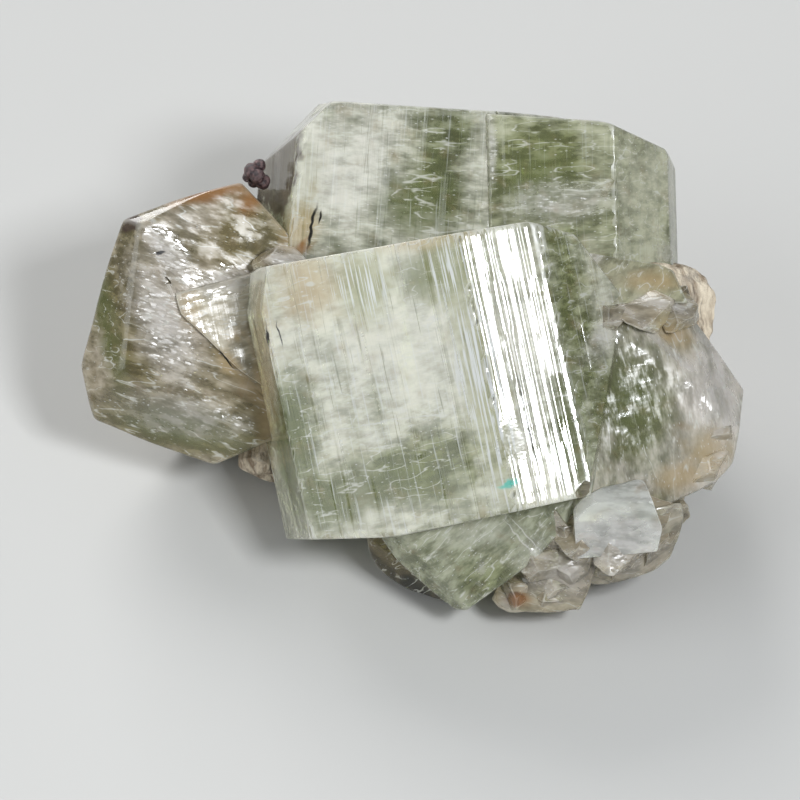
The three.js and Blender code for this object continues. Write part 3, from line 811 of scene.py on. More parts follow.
def corner_values(piece):
    """Keeps, for every corner of every face, its place along its crystal's axes and its looks. Each
    crystal's places are shifted by its number, so that no two have the same veils."""
    mesh = piece.data
    corners = read(mesh.polygons, "loop_total", kind=np.int32)
    number = np.repeat(read(mesh.attributes["crystal"].data, "value", kind=np.int32), corners)
    vertex = read(mesh.loops, "vertex_index", kind=np.int32)
    points = to_view(read(mesh.vertices, "co", 3))[vertex]
    values = {name: np.zeros((len(points), 3)) for name in ("growth", "clear", "milky", "shares")}
    for one in np.unique(number):
        lean, clear, milky, shares = LOOKS[one] if one < len(LOOKS) else LUMP_LOOK
        axis, toward, right = growth_axes(lean)
        here = number == one
        values["growth"][here] = points[here] @ np.stack([right, toward, axis], axis=1) + APART * one
        values["clear"][here] = colour(clear)[:3]
        values["milky"][here] = colour(milky)[:3]
        values["shares"][here] = shares
    for name, value in values.items():
        keep(mesh, name, value, "CORNER")
    print("kept for each corner:", list(values))


corner_values(crystals)

# %% [markdown]
# The marks on the crystals are where they are on the real one: milky veils, iron stains, green depths.
# Each is an egg-shaped place, given as it is looked at, and how deep it lies is found by looking: a ray
# from the eye stops at the surface. Broad marks are worked out here for every vertex and kept on the
# mesh as smooth numbers, and the material only makes their rims ragged.

# %% The tables of broad marks
# Each mark is (x, y, half width, half height, turn in degrees).
MARKS = {
    "veil": [
        (33.6, -8, 3.4, 8, 0), (-2.3, -8.8, 2, 1.6, 0), (-6, 21.7, 7, 6, 80), (7.3, 19.8, 2.2, 3.8, -4),
        (29.5, 12.1, 1.2, 1.6, 0), (-23.1, 15.4, 4, 2, 10), (-25.7, 5.5, 4.6, 8, 20), (27, 20, 4, 6, 0),
        (3, 2, 13, 8, 0), (15, -20.4, 1.6, 1.4, 0), (34.6, -6, 4, 9, 0), (20.9, 12.7, 1.8, 1.4, 0),
        (9.4, -19, 5, 1.4, 8), (32, -10, 4, 4, 0),
    ],
    "silver": [
        (-25.4, 11.4, 1.6, 4, 37), (10.1, 23.4, 0.7, 4, 0), (17.6, 17.4, 6, 2.4, 4), (-12.4, 11, 3, 1.6, 0),
        (-26, 4, 3, 7, 20), (-19.4, 8.6, 5, 1.4, 14), (21.8, 1.8, 1.6, 3, -40), (28.6, 2, 6.4, 0.5, -42),
        (29.5, 5.9, 3.6, 0.7, -12), (33.2, 2.6, 2.6, 0.7, -58), (35, -5, 1.8, 7, 6),
        (8.9, -22.8, 0.6, 0.7, 0), (-24, -6, 7, 2.4, -10), (24, -20, 4, 3, 0), (17, -23, 4, 3, 0),
        (12, -9, 1.6, 2.4, 0), (29.4, 11.8, 0.9, 1.2, 0), (21, 11.4, 1.6, 1.2, 0),
    ],
    "window": [
        (4.6, 20.4, 4.8, 6.6, 0), (19.4, 4, 2.6, 11, 10), (10.4, -24, 3, 2, 0), (15, 22, 5, 5, 0),
        (-32, 5, 1.6, 8, 12), (-24, -7, 8, 3, -8), (25, -5, 4.4, 7, 10), (-17.6, 13.4, 4, 3.4, 0),
        (1, -11.6, 9, 3.6, 8), (-12, -9, 2.6, 8, 0), (-8, -15, 4, 3, 0),
    ],
    "iron": [
        (-20.6, 18.6, 5, 1, 14), (-16.4, 17.6, 2, 1.4, 30), (13.1, -26.4, 1.6, 0.8, 0),
        (-16.3, -12.1, 2, 1, 0), (-10.6, 12.6, 1, 0.7, 0),
    ],
    "purple": [
        (-12.2, 22.4, 5, 1.2, 84), (-13.4, 21.6, 5, 1.2, 84), (-14.6, 20.6, 4, 1.2, 84),
        (-15.6, 19.6, 3, 1.2, 84), (-13.4, 17.6, 2, 1.2, 0), (-29.8, 15, 1, 1.5, -30),
        (12.6, -26.2, 1.1, 0.7, 0),
    ],
    "cream": [
        (3.2, 12.9, 4.8, 1.1, 8), (-11, 14.9, 2.2, 2.8, 0), (-23.2, 5.5, 1.5, 2.6, 0),
        (-17.9, 2.8, 1, 0.7, 0), (-15, -2, 1.2, 12, 2), (34, -10, 3, 2.6, 0), (30.5, -12.8, 3.4, 1.8, 20),
        (29.9, 2.8, 2.3, 1.6, -30), (-18.7, -0.7, 2.8, 1, -50), (-10, 8, 4, 4, 0), (28, 8.6, 3, 1.2, 0),
        (-11.6, 14.6, 1.2, 3.4, -24),
    ],
    "green": [
        (-12, -9, 3, 8, 0), (-2.2, -13.6, 9, 3, 8), (18.4, -6, 2, 8, 6), (-8, -15.6, 6, 3.4, 0),
        (2, 17, 4, 4, 0), (15, 19, 4, 4, 0), (25, -5, 4, 6, 0), (3, 9, 4, 3, 0), (-24, -7.5, 8, 2.6, -10),
        (-32.4, 4, 1.4, 8, 12),
    ],
    "lined": [(5.6, 9.4, 3.4, 4.4, 12), (9, -2, 14, 2.6, -78), (-4, 8, 3, 4, 12), (-13, 21, 4, 6, 0)],
}

# %% Where a mark lies, and what is inside it
# Rays start this far in front of the middle point, in millimetres, and a mark reaches to so many times
# its half sizes.
IN_FRONT = 60.0
RIM_SHARE = 1.5
surface = BVHTree.FromObject(crystals, bpy.context.evaluated_depsgraph_get())


def mark_spot(x, y):
    """The middle of a mark: where a ray from the eye through that place of the view meets a crystal."""
    start = to_part(np.array([[x, y, IN_FRONT]]))[0]
    hit = surface.ray_cast(Vector(start), Vector(-(TURN @ EYE)))[0]
    return x, y, (to_view(np.array([hit]))[0][2] if hit else 0.0)


def mark_size(wide, high):
    """The half sizes of a mark. How deep it reaches follows from the greater of the other two."""
    return wide, high, 1.5 * max(wide, high) + 1.5


def marked(points, table):
    """For each point how far it is inside the nearest mark, from 1 at a middle to 0 outside."""
    share = np.zeros(len(points))
    for x, y, wide, high, turn in table:
        turn = math.radians(turn)
        away = points - np.array(mark_spot(x, y))
        along = (away[:, 0] * math.cos(turn) + away[:, 1] * math.sin(turn)) / wide
        across = (away[:, 1] * math.cos(turn) - away[:, 0] * math.sin(turn)) / high
        deep = away[:, 2] / mark_size(wide, high)[2]
        share = np.maximum(share, 1 - np.sqrt(along**2 + across**2 + deep**2) / RIM_SHARE)
    return share


def bend(mesh):
    """For each vertex how much its neighbours fall away below it: the mean sine of the angle between
    the edges that leave it and its tangent plane. Worn edges have it above 0 and crevices below."""
    spots, outward = read(mesh.vertices, "co", 3), read(mesh.vertex_normals, "vector", 3)
    pairs = read(mesh.edges, "vertices", 2, np.int32)
    both = np.concatenate([pairs, pairs[:, ::-1]])
    way = spots[both[:, 1]] - spots[both[:, 0]]
    fall = -(way * outward[both[:, 0]]).sum(axis=1) / np.maximum(np.linalg.norm(way, axis=1), 1e-9)
    count = np.bincount(both[:, 0], minlength=len(spots))
    return np.bincount(both[:, 0], fall, len(spots)) / np.maximum(count, 1)


# %% Broad marks on the vertices
TRIOS = [("veil", "silver", "window"), ("iron", "purple", "cream"), ("green", "lined", "worn")]
places = to_view(read(crystals.data.vertices, "co", 3))
shares = {name: marked(places, table) for name, table in MARKS.items()} | {"worn": bend(crystals.data)}
for names in TRIOS:
    values = np.stack([shares[name] for name in names], axis=1)
    keep(crystals.data, "_".join(names), values, "POINT")
    print(names, "mean shares", values.mean(axis=0).round(3))

# %% [markdown]
# Materials are node trees, and short helpers keep them readable: one adds a node with its values and
# links, and a few more stand for the sums, blends and bands that every material needs. They find the
# tree by asking a socket that they are given.

# %% Helpers for node trees
def add(tree, kind, inputs=(), **settings):
    """A new node. Settings are its own choices, and inputs are values or sockets to link."""
    node = tree.nodes.new(kind)
    for name, value in settings.items():
        setattr(node, name, value)
    for name, value in dict(inputs).items():
        if isinstance(value, bpy.types.NodeSocket):
            tree.links.new(value, node.inputs[name])
        else:
            node.inputs[name].default_value = value
    return node


def beside(kind, inputs, **settings):
    """A new node in the tree of the first socket among its inputs."""
    inputs = dict(inputs)
    tree = next(value.id_data for value in inputs.values() if isinstance(value, bpy.types.NodeSocket))
    return add(tree, kind, inputs, **settings)


def calc(operation, *values):
    """The result of one sum on numbers."""
    return beside("ShaderNodeMath", enumerate(values), operation=operation).outputs[0]


def times(first, second):
    """The product of two numbers."""
    return calc("MULTIPLY", first, second)


def plus(base, value, weight=1.0):
    """The base and the value by its weight, as one number."""
    return calc("MULTIPLY_ADD", value, weight, base)


def vector_calc(operation, *values):
    """The result of one sum on vectors."""
    return beside("ShaderNodeVectorMath", enumerate(values), operation=operation).outputs[0]


def scaled(vector, share):
    """A vector or a colour, times a number."""
    return beside("ShaderNodeVectorMath", {0: vector, "Scale": share}, operation="SCALE").outputs[0]


# %% Helpers for colours and patterns
def band(value, low, high, start=0.0, end=1.0):
    """A smooth step from start to end as the value goes from low to high."""
    inputs = {"Value": value, "From Min": low, "From Max": high, "To Min": start, "To Max": end}
    return beside("ShaderNodeMapRange", inputs, interpolation_type="SMOOTHSTEP").outputs[0]


def blend(share, first, second):
    """The first colour turning into the second as the share goes from 0 to 1."""
    return beside("ShaderNodeMix", {0: share, 6: first, 7: second}, data_type="RGBA").outputs[2]


def tinted(body, share, card, weight=1.0):
    """A colour that turns into the one of a paint card by its share, times a weight."""
    return blend(share if weight == 1.0 else times(share, weight), body, colour(card))


def stretched(place, *factors):
    """A place, multiplied along each axis. A small factor draws a pattern out along its axis."""
    return vector_calc("MULTIPLY", place, factors)


def cloud(place, scale, detail, roughness=0.55):
    """A noise texture's value."""
    inputs = {"Vector": place, "Scale": scale, "Detail": detail, "Roughness": roughness}
    return beside("ShaderNodeTexNoise", inputs).outputs["Fac"]


def bumped(height, strength=1.0, distance=METRES):
    """The normal of a surface with that height. The unit of the height is the distance."""
    inputs = {"Height": height, "Strength": strength, "Distance": distance}
    return beside("ShaderNodeBump", inputs).outputs[0]


# %% Helpers for groups and kept values
def new_group(name, inputs, outputs):
    """An empty node group with named sockets, and its input and output nodes."""
    group = bpy.data.node_groups.new(name, "ShaderNodeTree")
    for way, sockets in (("INPUT", inputs), ("OUTPUT", outputs)):
        for socket, kind in sockets.items():
            group.interface.new_socket(socket, in_out=way, socket_type="NodeSocket" + kind)
    return group, add(group, "NodeGroupInput").outputs, add(group, "NodeGroupOutput").inputs


def use(group, inputs):
    """One use of a node group, as its outputs."""
    return beside("ShaderNodeGroup", inputs, node_tree=group).outputs


def kept(tree, name):
    """A vector that is kept on the mesh."""
    return add(tree, "ShaderNodeAttribute", attribute_name=name).outputs["Vector"]


def split(vector):
    """The three numbers of a vector."""
    return list(beside("ShaderNodeSeparateXYZ", {0: vector}).outputs)


# %% [markdown]
# Inside such a crystal hang veils: healed cracks full of tiny bubbles. They look like drifting smoke,
# with a thin bright line where one is seen edge on. Noise in the crystal's own axes, stretched or
# squeezed along each, gives the smoke, and a thin line is where a noise crosses its middle value.

# %% The veils as a group
def veils_group():
    """Outputs: Broad and Fine, two sizes of clouds. Healed, thin healed cracks that lie mostly across
    the axis. Streaks, fine lines along it."""
    group, given, out = new_group(
        "veils", {"Place": "Vector"},
        {"Broad": "Float", "Fine": "Float", "Healed": "Float", "Streaks": "Float"})
    place = given["Place"]
    fine = cloud(stretched(place, 0.55, 1, 1.5), 0.6, 3, 0.65)
    crossed = cloud(stretched(place, 0.3, 1, 1.8), 0.3, 2, 0.6)
    plane = calc("ABSOLUTE", calc("SUBTRACT", crossed, 0.5))
    healed = times(band(plane, 0.0, 0.018, 1, 0), band(fine, 0.44, 0.56))
    group.links.new(cloud(stretched(place, 1, 1, 0.5), 0.15, 2, 0.65), out["Broad"])
    group.links.new(fine, out["Fine"])
    group.links.new(healed, out["Healed"])
    group.links.new(cloud(stretched(place, 1, 1, 0.03), 3.6, 2, 0.7), out["Streaks"])
    return group


VEILS = veils_group()

# %% [markdown]
# A mark in the material is the same egg-shaped place, turned in the plane of the view. Its rim is
# ragged because the place that it is given has already been shaken by a noise. A group does one mark,
# and the marks of one kind are gathered by taking the strongest.

# %% One mark as a group
def mark_group():
    """Output: Mask, which is 1 in the middle of the egg and falls to 0 at its rim."""
    group, given, out = new_group(
        "mark", {"Place": "Vector", "Centre": "Vector", "Size": "Vector", "Turn": "Float"},
        {"Mask": "Float"})
    moved = vector_calc("SUBTRACT", given["Place"], given["Centre"])
    turned = beside("ShaderNodeVectorRotate", {"Vector": moved, "Angle": given["Turn"]},
                    rotation_type="Z_AXIS").outputs[0]
    share = vector_calc("DIVIDE", turned, given["Size"])
    length = beside("ShaderNodeVectorMath", {0: share}, operation="LENGTH").outputs["Value"]
    group.links.new(band(length, 0.45, 1.0, 1.0, 0.0), out["Mask"])
    return group


MARK = mark_group()


def marks(place, table):
    """The strongest of the marks in a table of (x, y, half width, half height, turn in degrees)."""
    strongest = None
    for x, y, wide, high, turn in table:
        where = {"Centre": mark_spot(x, y), "Size": mark_size(wide, high), "Turn": -math.radians(turn)}
        mask = use(MARK, {"Place": place} | where)["Mask"]
        strongest = mask if strongest is None else calc("MAXIMUM", strongest, mask)
    return strongest


# %% [markdown]
# Broken places and flakes glitter: each tiny cleavage lies at its own tilt. The cells of a Voronoi
# pattern have a random colour each, and taken as a direction it tilts the surface of that cell. A few
# cells out of many also hold a painted glint: a bright dot in the colour, where a tiny facet would catch the
# light.

# %% Flakes as a group
def flakes_group():
    """Outputs: Tilt, a direction for each cell. The second output is a painted glint, a bright dot in a
    fifth of the cells, and in more of them as Many goes from 0 to 1."""
    group, given, out = new_group(
        "flakes", {"Place": "Vector", "Many": "Float"}, {"Tilt": "Vector", "Glint": "Float"})
    cells = beside("ShaderNodeTexVoronoi", {"Vector": given["Place"], "Scale": 3.4, "Randomness": 1.0})
    group.links.new(vector_calc("SUBTRACT", cells.outputs["Color"], (0.5, 0.5, 0.5)), out["Tilt"])
    chance = plus(split(cells.outputs["Color"])[0], given["Many"], 0.35)
    dot = band(cells.outputs["Distance"], 0.12, 0.34, 1, 0)
    group.links.new(times(band(chance, 0.8, 0.9), dot), out["Glint"])
    return group


FLAKES = flakes_group()
print("groups:", [group.name for group in bpy.data.node_groups])

# %% [markdown]
# Cracks and bright fractures are thinner than the mesh is fine, so the material draws them, as long
# narrow marks from one place to another, in millimetres of the view.

# %% Where the thin marks are
def line(start, end, width):
    """A thin mark from start to end, as a row of a mark table. Marks fade toward their rims, so it gets
    more than half of its length as its half width."""
    (x0, y0), (x1, y1) = start, end
    turn = math.degrees(math.atan2(y1 - y0, x1 - x0))
    return (x0 + x1) / 2, (y0 + y1) / 2, math.hypot(x1 - x0, y1 - y0) / 1.6, width, turn


CRACKS = [
    line((-14.7, 3.6), (-14.3, 1.4), 0.2), line((-13.4, 4.3), (-12.8, 1.4), 0.11),
    line((12.7, -1.1), (15.1, -12.1), 0.1), line((-9.2, 17.3), (-10.2, 12.2), 0.24),
    line((-8.8, 16.7), (-8.9, 15), 0.13), line((-20.2, 1.4), (-18.2, -1), 0.14),
    (-26.4, 11.9, 0.7, 0.3, 20),
]
FRACTURES = [
    line((-8.6, -7.9), (-5, -7.4), 0.1), line((-5, -7.4), (-0.8, -6.5), 0.1),
    line((-0.8, -6.5), (5.7, -5.9), 0.1), (-9.9, 8.3, 0.6, 0.5, 0),
    line((11.4, -17.6), (15.1, -21.8), 0.12), line((12.1, -17.3), (15.8, -21.3), 0.1),
]
RAINBOWS = [(11.8, -13.4, 1.6, 0.7, 14)]
print("cracks:", len(CRACKS), "bright fractures:", len(FRACTURES))

# %% [markdown]
# The apatite is one glassy material. Light passes into it, is absorbed a little more in the red and
# blue than in the green, and meets cloudy parts. The clouds, stains and cracks are in the base colour, and so
# are painted glints, sheen, edge highlights, a rainbow flash and shade in crevices.
# Fine growth lines are in the bump, flakes tilt the surface, and frosted places are rougher.

# %% A new material, and places in it
def material(name):
    """An empty material's tree with its shader, its output and its own coordinates in metres."""
    made = bpy.data.materials.new(name)
    made.use_nodes = True
    tree = made.node_tree
    tree.nodes.clear()
    shader = add(tree, "ShaderNodeBsdfPrincipled")
    output = add(tree, "ShaderNodeOutputMaterial", {"Surface": shader.outputs[0]})
    return made, tree, shader, output, add(tree, "ShaderNodeTexCoord").outputs["Object"]


def dress(piece, made, shader, body, roughness, normal):
    """Links the body colour, roughness and normal to the shader and gives the material to the piece."""
    for name, value in (("Base Color", body), ("Roughness", roughness), ("Normal", normal)):
        made.node_tree.links.new(value, shader.inputs[name])
    piece.data.materials.clear()
    piece.data.materials.append(made)
    print(made.name, "has", len(made.node_tree.nodes), "nodes")


def view_place(spot):
    """The place in the view, in millimetres: the same shift and turn as to_view does."""
    inputs = {"Scale": [1 / METRES] * 3, "Rotation": (-LEAN, 0, 0), "Location": tuple(-(TURN.T @ MIDDLE))}
    return beside("ShaderNodeMapping", inputs | {"Vector": spot}).outputs[0]


def shaken(place, size, reach):
    """The place, moved about by a noise of that size by up to half of the reach."""
    jitter = beside("ShaderNodeTexNoise", {"Vector": place, "Scale": 1 / size, "Detail": 2.0})
    centred = vector_calc("SUBTRACT", jitter.outputs["Color"], (0.5, 0.5, 0.5))
    return vector_calc("ADD", place, scaled(centred, reach))


# %% What the layers of the apatite read
# Each rim has the reach of its noise, and the shares between which the mark comes in.
SOFT_RIM = (0.8, 0.0, 0.85)
FIRM_RIM = (1.0, 0.2, 0.5)


def apatite_reads(tree, spot):
    """All that the layers read, by name: the crystal's own values, its veils and flakes, and the broad
    marks. A noise shakes the rim of a mark, and a smooth step then draws it."""
    seen = SimpleNamespace(place=view_place(spot))
    seen.growth, seen.clear, seen.milky = [kept(tree, name) for name in ("growth", "clear", "milky")]
    seen.milk, seen.brown, seen.lines = split(kept(tree, "shares"))
    veils = use(VEILS, {"Place": seen.growth})
    seen.broad, seen.fine, seen.healed, seen.streaks = veils.values()
    seen.shake = calc("SUBTRACT", cloud(seen.place, 0.45, 2, 0.62), 0.5)
    for names in TRIOS:
        for name, share in zip(names, split(kept(tree, "_".join(names)))):
            reach, low, high = FIRM_RIM if name == "purple" else SOFT_RIM
            ragged = share if name == "worn" else band(plus(share, seen.shake, reach), low, high)
            setattr(seen, name, ragged)
    seen.lined = times(seen.lined, seen.lines)
    flakes = use(FLAKES, {"Place": stretched(seen.growth, 0.5, 1, 1.5), "Many": seen.silver})
    seen.tilt, seen.speck = flakes.values()
    return seen


# %% The clear and the milky parts
def clear_and_milky(seen):
    """The clear colour turns milky where the clouds are thick, sooner in veils and later in windows.
    Clear parts are darker where the fine clouds are thin, and both clouds tone the whole once more."""
    smoke = plus(times(seen.fine, 0.4), seen.broad, 0.6)
    cloudiness = plus(calc("SUBTRACT", smoke, 0.25), seen.milk, 0.5)
    cloudiness = plus(plus(cloudiness, seen.veil, 0.14), seen.window, -0.2)
    deep = scaled(seen.clear, band(seen.fine, 0.36, 0.64, 0.66, 1.25))
    body = blend(band(cloudiness, 0.31, 0.74), deep, seen.milky)
    tone = plus(times(seen.fine, 0.5), seen.broad, 0.5)
    return scaled(body, band(tone, 0.4, 0.6, 0.84, 1.08))


# %% Stains, flakes and lines
def stained(body, seen):
    """Brown stains as the crystal has them, and green depths and cream stains where they are marked."""
    body = tinted(body, times(band(seen.broad, 0.4, 0.65), seen.brown), "a08b62", 0.6)
    body = tinted(body, seen.green, "6a7240", 0.75)
    return tinted(body, seen.cream, "cfb484", 0.7)


def flaked(body, seen):
    """A pale tint over silvery places that is partly their whitish colour and partly a painted satin sheen,
    painted glints as bright dots, and the thin healed cracks.
    """
    # Painted sheen over the silvery places, partly their own whitish colour.
    body = tinted(body, times(seen.silver, band(seen.fine, 0.4, 0.6, 0.25, 0.6)), "dcd6d2")
    # Painted glints: bright dots of the flakes, painted into the colour.
    body = tinted(body, seen.speck, "f6f5f2", 0.7)
    return tinted(body, seen.healed, "f2f1e8", 0.7)


def lined(body, seen):
    """Painted glints as bright streaks along the axis, and dark streaks. Lined places are greener, with more
    bright streaks.
    """
    bright = band(plus(seen.streaks, seen.lined, 0.12), 0.6, 0.68)
    strength = times(seen.lines, plus(0.4, seen.lined, 0.55))
    body = tinted(body, seen.lined, "9b9d62", 0.65)
    # The bright streaks are painted glints on the growth lines.
    body = tinted(body, times(bright, strength), "f8fafa")
    return tinted(body, times(band(seen.streaks, 0.38, 0.3), seen.lines), "6f7458", 0.5)


def cracked(body, seen):
    """The turquoise flash as a painted rainbow reflection, purple and iron stains, bright fractures, edges
    whitened partly as frosted wear and partly as a painted highlight, painted shade in crevices and dark
    cracks. The thin marks are given a place that two noises have shaken."""
    moves = {0: seen.shake, 1: calc("SUBTRACT", seen.fine, 0.5)}
    sideways = beside("ShaderNodeCombineXYZ", moves).outputs[0]
    near = vector_calc("MULTIPLY_ADD", sideways, (1, 0.8, 0), seen.place)
    # A painted reflection: the turquoise rainbow flash of a crack.
    body = tinted(body, times(marks(near, RAINBOWS), band(seen.fine, 0.42, 0.6)), "5fd0be")
    body = tinted(body, seen.purple, "4f3c36", 0.85)
    body = tinted(body, seen.iron, "ab7440", 0.85)
    body = tinted(body, marks(near, FRACTURES), "eceae2", 0.7)
    # Edges whitened partly as frosted wear and partly as a painted highlight along them.
    frosted_and_highlit = times(band(seen.worn, 0.06, 0.15), plus(0.15, seen.lines, 0.4))
    body = tinted(body, frosted_and_highlit, "f6f5ee")
    # Painted shade: crevices, where the surface bends inward, are darkened.
    body = tinted(body, band(seen.worn, -0.06, -0.24, 0, 0.5), "4a3f2c")
    return tinted(body, marks(near, CRACKS), "17130f")


# %% Apatite
# Heights in millimetres, and how far a flake turns the surface.
LINE_HEIGHT = 0.022
RIPPLE_HEIGHT = 0.016
FLAKE_TILT = 0.4


def apatite_roughness(seen):
    """Glossy, less so in thick clouds, and frosted on silvery places and worn edges."""
    rough = plus(band(seen.fine, 0.4, 0.7, 0.06, 0.24), seen.silver, 0.28)
    return plus(rough, band(seen.worn, 0.04, 0.1), 0.3)


def apatite_normal(seen):
    """Fine lines along the axis and slow ripples as a bump, then tilted flake by flake."""
    along = cloud(stretched(seen.growth, 1, 1, 0.012), 4.5, 0)
    fine_lines = times(along, times(seen.lines, LINE_HEIGHT))
    ripple = times(cloud(stretched(seen.growth, 1, 1, 0.25), 1.2, 0), RIPPLE_HEIGHT)
    tilt = scaled(seen.tilt, times(seen.silver, FLAKE_TILT))
    return vector_calc("NORMALIZE", vector_calc("ADD", bumped(plus(fine_lines, ripple)), tilt))


def dress_in_apatite(piece):
    """The glassy, veiled and stained material of all the crystals."""
    made, tree, shader, output, spot = material("apatite")
    seen = apatite_reads(tree, spot)
    body = cracked(lined(flaked(stained(clear_and_milky(seen), seen), seen), seen), seen)
    shader.inputs["IOR"].default_value = 1.63
    shader.inputs["Transmission Weight"].default_value = 0.5
    absorb = add(tree, "ShaderNodeVolumeAbsorption", {"Color": (0.5, 0.58, 0.3, 1), "Density": 40.0})
    tree.links.new(absorb.outputs[0], output.inputs["Volume"])
    dress(piece, made, shader, body, apatite_roughness(seen), apatite_normal(seen))


dress_in_apatite(crystals)
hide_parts("apatite_crystals")
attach(crystals, "root")

# %% [markdown]
# The host rock fills the back and the underside. It is broken rock: lumps with a rough skin. At the
# right it shows a cleaved side with fibres that run up and down, tan with dark clefts. It stops a hair
# short of the crystals, because two skins in one place would flicker: a copy of the crystals, moved out
# along its normals, is taken from it.

# %% Host rock
ROCK_LUMPS = [
    ([8, -5, -23], [22, 13, 10], 24, 41), ([-13, 3, -23], [12, 10, 8], 18, 42),
    ([9, -17, -13], [12, 8, 8], 18, 43), ([26, 2, -17], [8, 8, 9], 16, 44),
    ([-14.4, -9.8, -15], [3.2, 2.9, 4.4], 18, 45),
]
ROCK_SIDE = dict(
    front=([33, 6, -3], [-0.4, 0]),
    folds=[([35, 8], [30.6, 8.8], 40)],
    walls=[
        (6, -4, [(34.4, 1.2), (34.9, 4.7), (35.3, 6.8), (34.3, 9.2)]),
        (6, -5, [(34.3, 9.2), (31.6, 10.5), (24, 10.8)]), (0, 0, [(24, 10), (24, -6), (30, -6)]),
        (6, -4, [(30, -6), (34.4, 1.2)]),
    ],
    backs=[([30, 3, -20], [0.2, 0.2])],
)
ROCK_WAVES = [(5, 0.5, 0), (1.8, 0.28, 10), (0.8, 0.12, 20)]
ROCK_GAP = 0.25


def grown_copy(piece, gap):
    """A copy whose every point has moved out along its normal by the gap, in millimetres."""
    mesh = piece.data.copy()
    spots, outward = read(mesh.vertices, "co", 3), read(mesh.vertex_normals, "vector", 3)
    mesh.vertices.foreach_set("co", (spots + gap * METRES * outward).reshape(-1))
    mesh.update()
    return placed("grown", mesh)


rock_skins = [
    *[skin(rounded_solid(lump_faces(*lump), 0.6, 30), ROCK_WAVES, 200) for lump in ROCK_LUMPS],
    skin(rounded_solid(folded_faces(**ROCK_SIDE), 0.3, 60), ROCK_WAVES, 300),
]
rock, *others = [mesh_object("host_rock", *one, number) for number, one in enumerate(rock_skins)]
combine(rock, others, "UNION")
combine(rock, [grown_copy(crystals, ROCK_GAP), ground_block()], "DIFFERENCE")
shade(rock)
print("rock triangles:", len(rock.data.polygons))

# %% [markdown]
# The rock's colours are tan and grey-brown in bands along its fibres, with dark clefts. Its bump is
# coarse and dry, and it hardly shines.

# %% Rock material
def dress_in_rock(piece):
    """Fibrous tan rock that turns grey and dark in its clefts."""
    made, _, shader, _, spot = material("host_rock")
    place = view_place(spot)
    fibre = stretched(shaken(place, 3, 1.2), 1, 0.14, 0.6)
    bands = cloud(fibre, 1.1, 5, 0.65)
    body = blend(band(bands, 0.32, 0.62), colour("8f7a62"), colour("e8dac2"))
    body = tinted(body, band(cloud(place, 0.3, 4, 0.6), 0.52, 0.7, 0, 0.6), "8a8279")
    body = tinted(body, band(cloud(fibre, 0.5, 4, 0.6), 0.6, 0.68, 0, 0.85), "4a392c")
    height = plus(times(bands, 0.5), cloud(place, 2.6, 4, 0.7), 0.25)
    dress(piece, made, shader, body, band(bands, 0.3, 0.7, 0.8, 0.55), bumped(height))


dress_in_rock(rock)
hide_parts("matrix")
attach(rock, "root")

# %% [markdown]
# A few dark grains sit where the back crystal meets the left one. They are small botryoids: balls with
# bumps, purple-brown and a little glossy. A ball is a grid of two angles, so its surface is a formula.

# %% Dark grains
# Each grain is (x, y, z, radius).
GRAINS = [
    (-16.4, 20.9, -11, 1), (-15.6, 21.6, -11.6, 0.8), (-15.8, 20.4, -10.6, 0.9),
    (-16.9, 20.3, -11.6, 0.6), (-15.2, 19.8, -11.2, 0.9), (-16.2, 19.9, -12.2, 0.8),
]
BALL_SHARE = 0.94
SWELL = 0.2
SWELL_SIZE = 0.42


def ball(x, y, z, radius, rows=24, around=40):
    """A ball from two angles. Its radius swells and shrinks by up to a tenth, in small bumps."""
    down = math.pi * (np.arange(rows) + 0.5) / rows
    turn = 2 * math.pi * np.arange(around) / around
    rings = np.stack([
        np.sin(down)[:, None] * np.cos(turn), np.sin(down)[:, None] * np.sin(turn),
        -np.cos(down)[:, None] * np.ones(around),
    ], axis=-1)
    flat = np.concatenate([rings.reshape(-1, 3), [[0, 0, -1], [0, 0, 1]]])
    centre = np.array([x, y, z])
    swell = 1 + SWELL * (noise(centre + radius * flat, SWELL_SIZE, 90) - 0.5)
    return centre + BALL_SHARE * radius * flat * swell[:, None], ring_faces(rows, around)


grains, *others = [mesh_object("dark_grains", *ball(*grain)) for grain in GRAINS]
combine(grains, others, "UNION")
shade(grains)
print("grain triangles:", len(grains.data.polygons))


# %% Grain material
def dress_in_grain(piece):
    """Purple-brown, with patches of paler dust."""
    made, _, shader, _, spot = material("dark_mineral")
    place = view_place(spot)
    mottle = band(cloud(place, 2.2, 5, 0.6), 0.4, 0.66)
    body = blend(mottle, colour("2e2124"), colour("6d5654"))
    bump = bumped(cloud(place, 4, 5, 0.6), 0.7, 0.3 * METRES)
    dress(piece, made, shader, body, band(mottle, 0, 1, 0.3, 0.6), bump)


dress_in_grain(grains)
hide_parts("dark_grains")
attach(grains, "root")

# %% [markdown]
# The specimen lies on a pale floor under soft studio light. A small strong softbox stands where the
# bevel of the front crystal throws it toward the eye, which lights up that bevel from top to bottom.
# Large weak ones fill the rest, so the dark depths of the crystals stay dark.

# %% Floor
def floor_plane(reach=3.0, under=-0.0002):
    """A wide pale floor, a hair under the specimen."""
    mesh = bpy.data.meshes.new("floor")
    corners = [(x, y, under) for x, y in ((-reach, -reach), (reach, -reach), (reach, reach), (-reach, reach))]
    mesh.from_pydata(corners, [], [(0, 1, 2, 3)])
    made, _, shader, _, _ = material("floor")
    shader.inputs["Base Color"].default_value = colour("b9b8b5")
    shader.inputs["Roughness"].default_value = 0.85
    mesh.materials.append(made)
    placed("floor", mesh)


floor_plane()


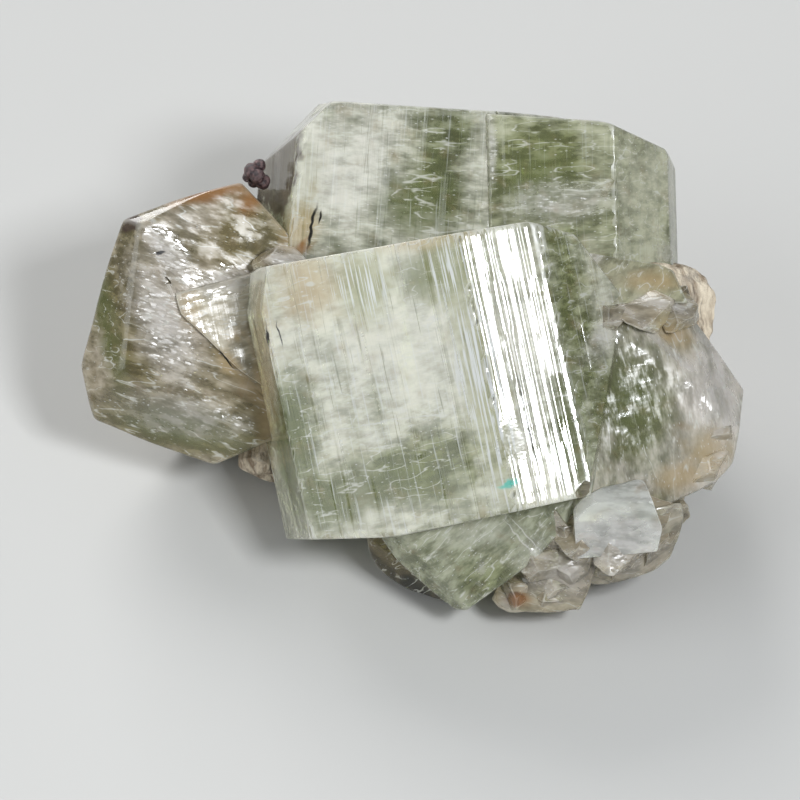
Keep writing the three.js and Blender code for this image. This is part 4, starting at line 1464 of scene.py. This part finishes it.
# %% Lights
def softbox(name, toward, distance, width, height, power, tint):
    """A rectangular light that stands off in that direction and faces the specimen."""
    lamp = bpy.data.lights.new(name, "AREA")
    lamp.shape, lamp.size, lamp.size_y = "RECTANGLE", width, height
    lamp.energy, lamp.color = power, tint
    made = placed(name, lamp)
    made.location = Vector(to_part(np.zeros((1, 3)))[0]) + Vector(toward).normalized() * distance
    made.rotation_euler = Vector(toward).to_track_quat("Z", "Y").to_euler()


softbox("key", TURN @ [0.335, 0.1, 0.937], 0.7, 0.14, 0.12, 4.2, (0.93, 0.96, 1.0))
softbox("fill_left", (-0.8, -0.35, 0.55), 1.1, 1.1, 1.1, 7.0, (0.95, 0.98, 1.0))
softbox("back_top", (-0.35, 0.8, 0.5), 1.2, 0.8, 0.8, 13.0, (1, 1, 1))
world = bpy.data.worlds.new("studio")
world.use_nodes = True
world.node_tree.nodes["Background"].inputs["Color"].default_value = (0.8, 0.85, 0.9, 1)
world.node_tree.nodes["Background"].inputs["Strength"].default_value = 0.28
bpy.context.scene.world = world

# %% Camera
# A pixel of the frame is this wide, in millimetres, and the frame's middle lies 40 pixels lower than
# the middle point of the view.
PIXEL = 0.11
FRAME_PIXELS = 800
LOWER_BY = 40
CAMERA_AWAY = 1.5


def aimed_camera(aim, distance, frame_width):
    """A camera that looks at the aim from 45 degrees up, with a frame of that width at the aim."""
    lens = bpy.data.cameras.new("camera")
    lens.sensor_width = 36.0
    lens.lens = lens.sensor_width * distance / frame_width
    lens.clip_start, lens.clip_end = 0.05, 20.0
    made = placed("camera", lens)
    made.location = Vector(aim) + Vector(TURN @ EYE) * distance
    made.rotation_euler = (math.radians(90) - LEAN, 0, 0)
    return made


aim = to_part(np.array([[0, -LOWER_BY * PIXEL, 0]]))[0]
bpy.context.scene.camera = aimed_camera(aim, CAMERA_AWAY, FRAME_PIXELS * PIXEL * METRES)
bpy.context.scene.view_settings.view_transform = "Standard"
print("the camera stands at", [round(value, 3) for value in bpy.context.scene.camera.location])
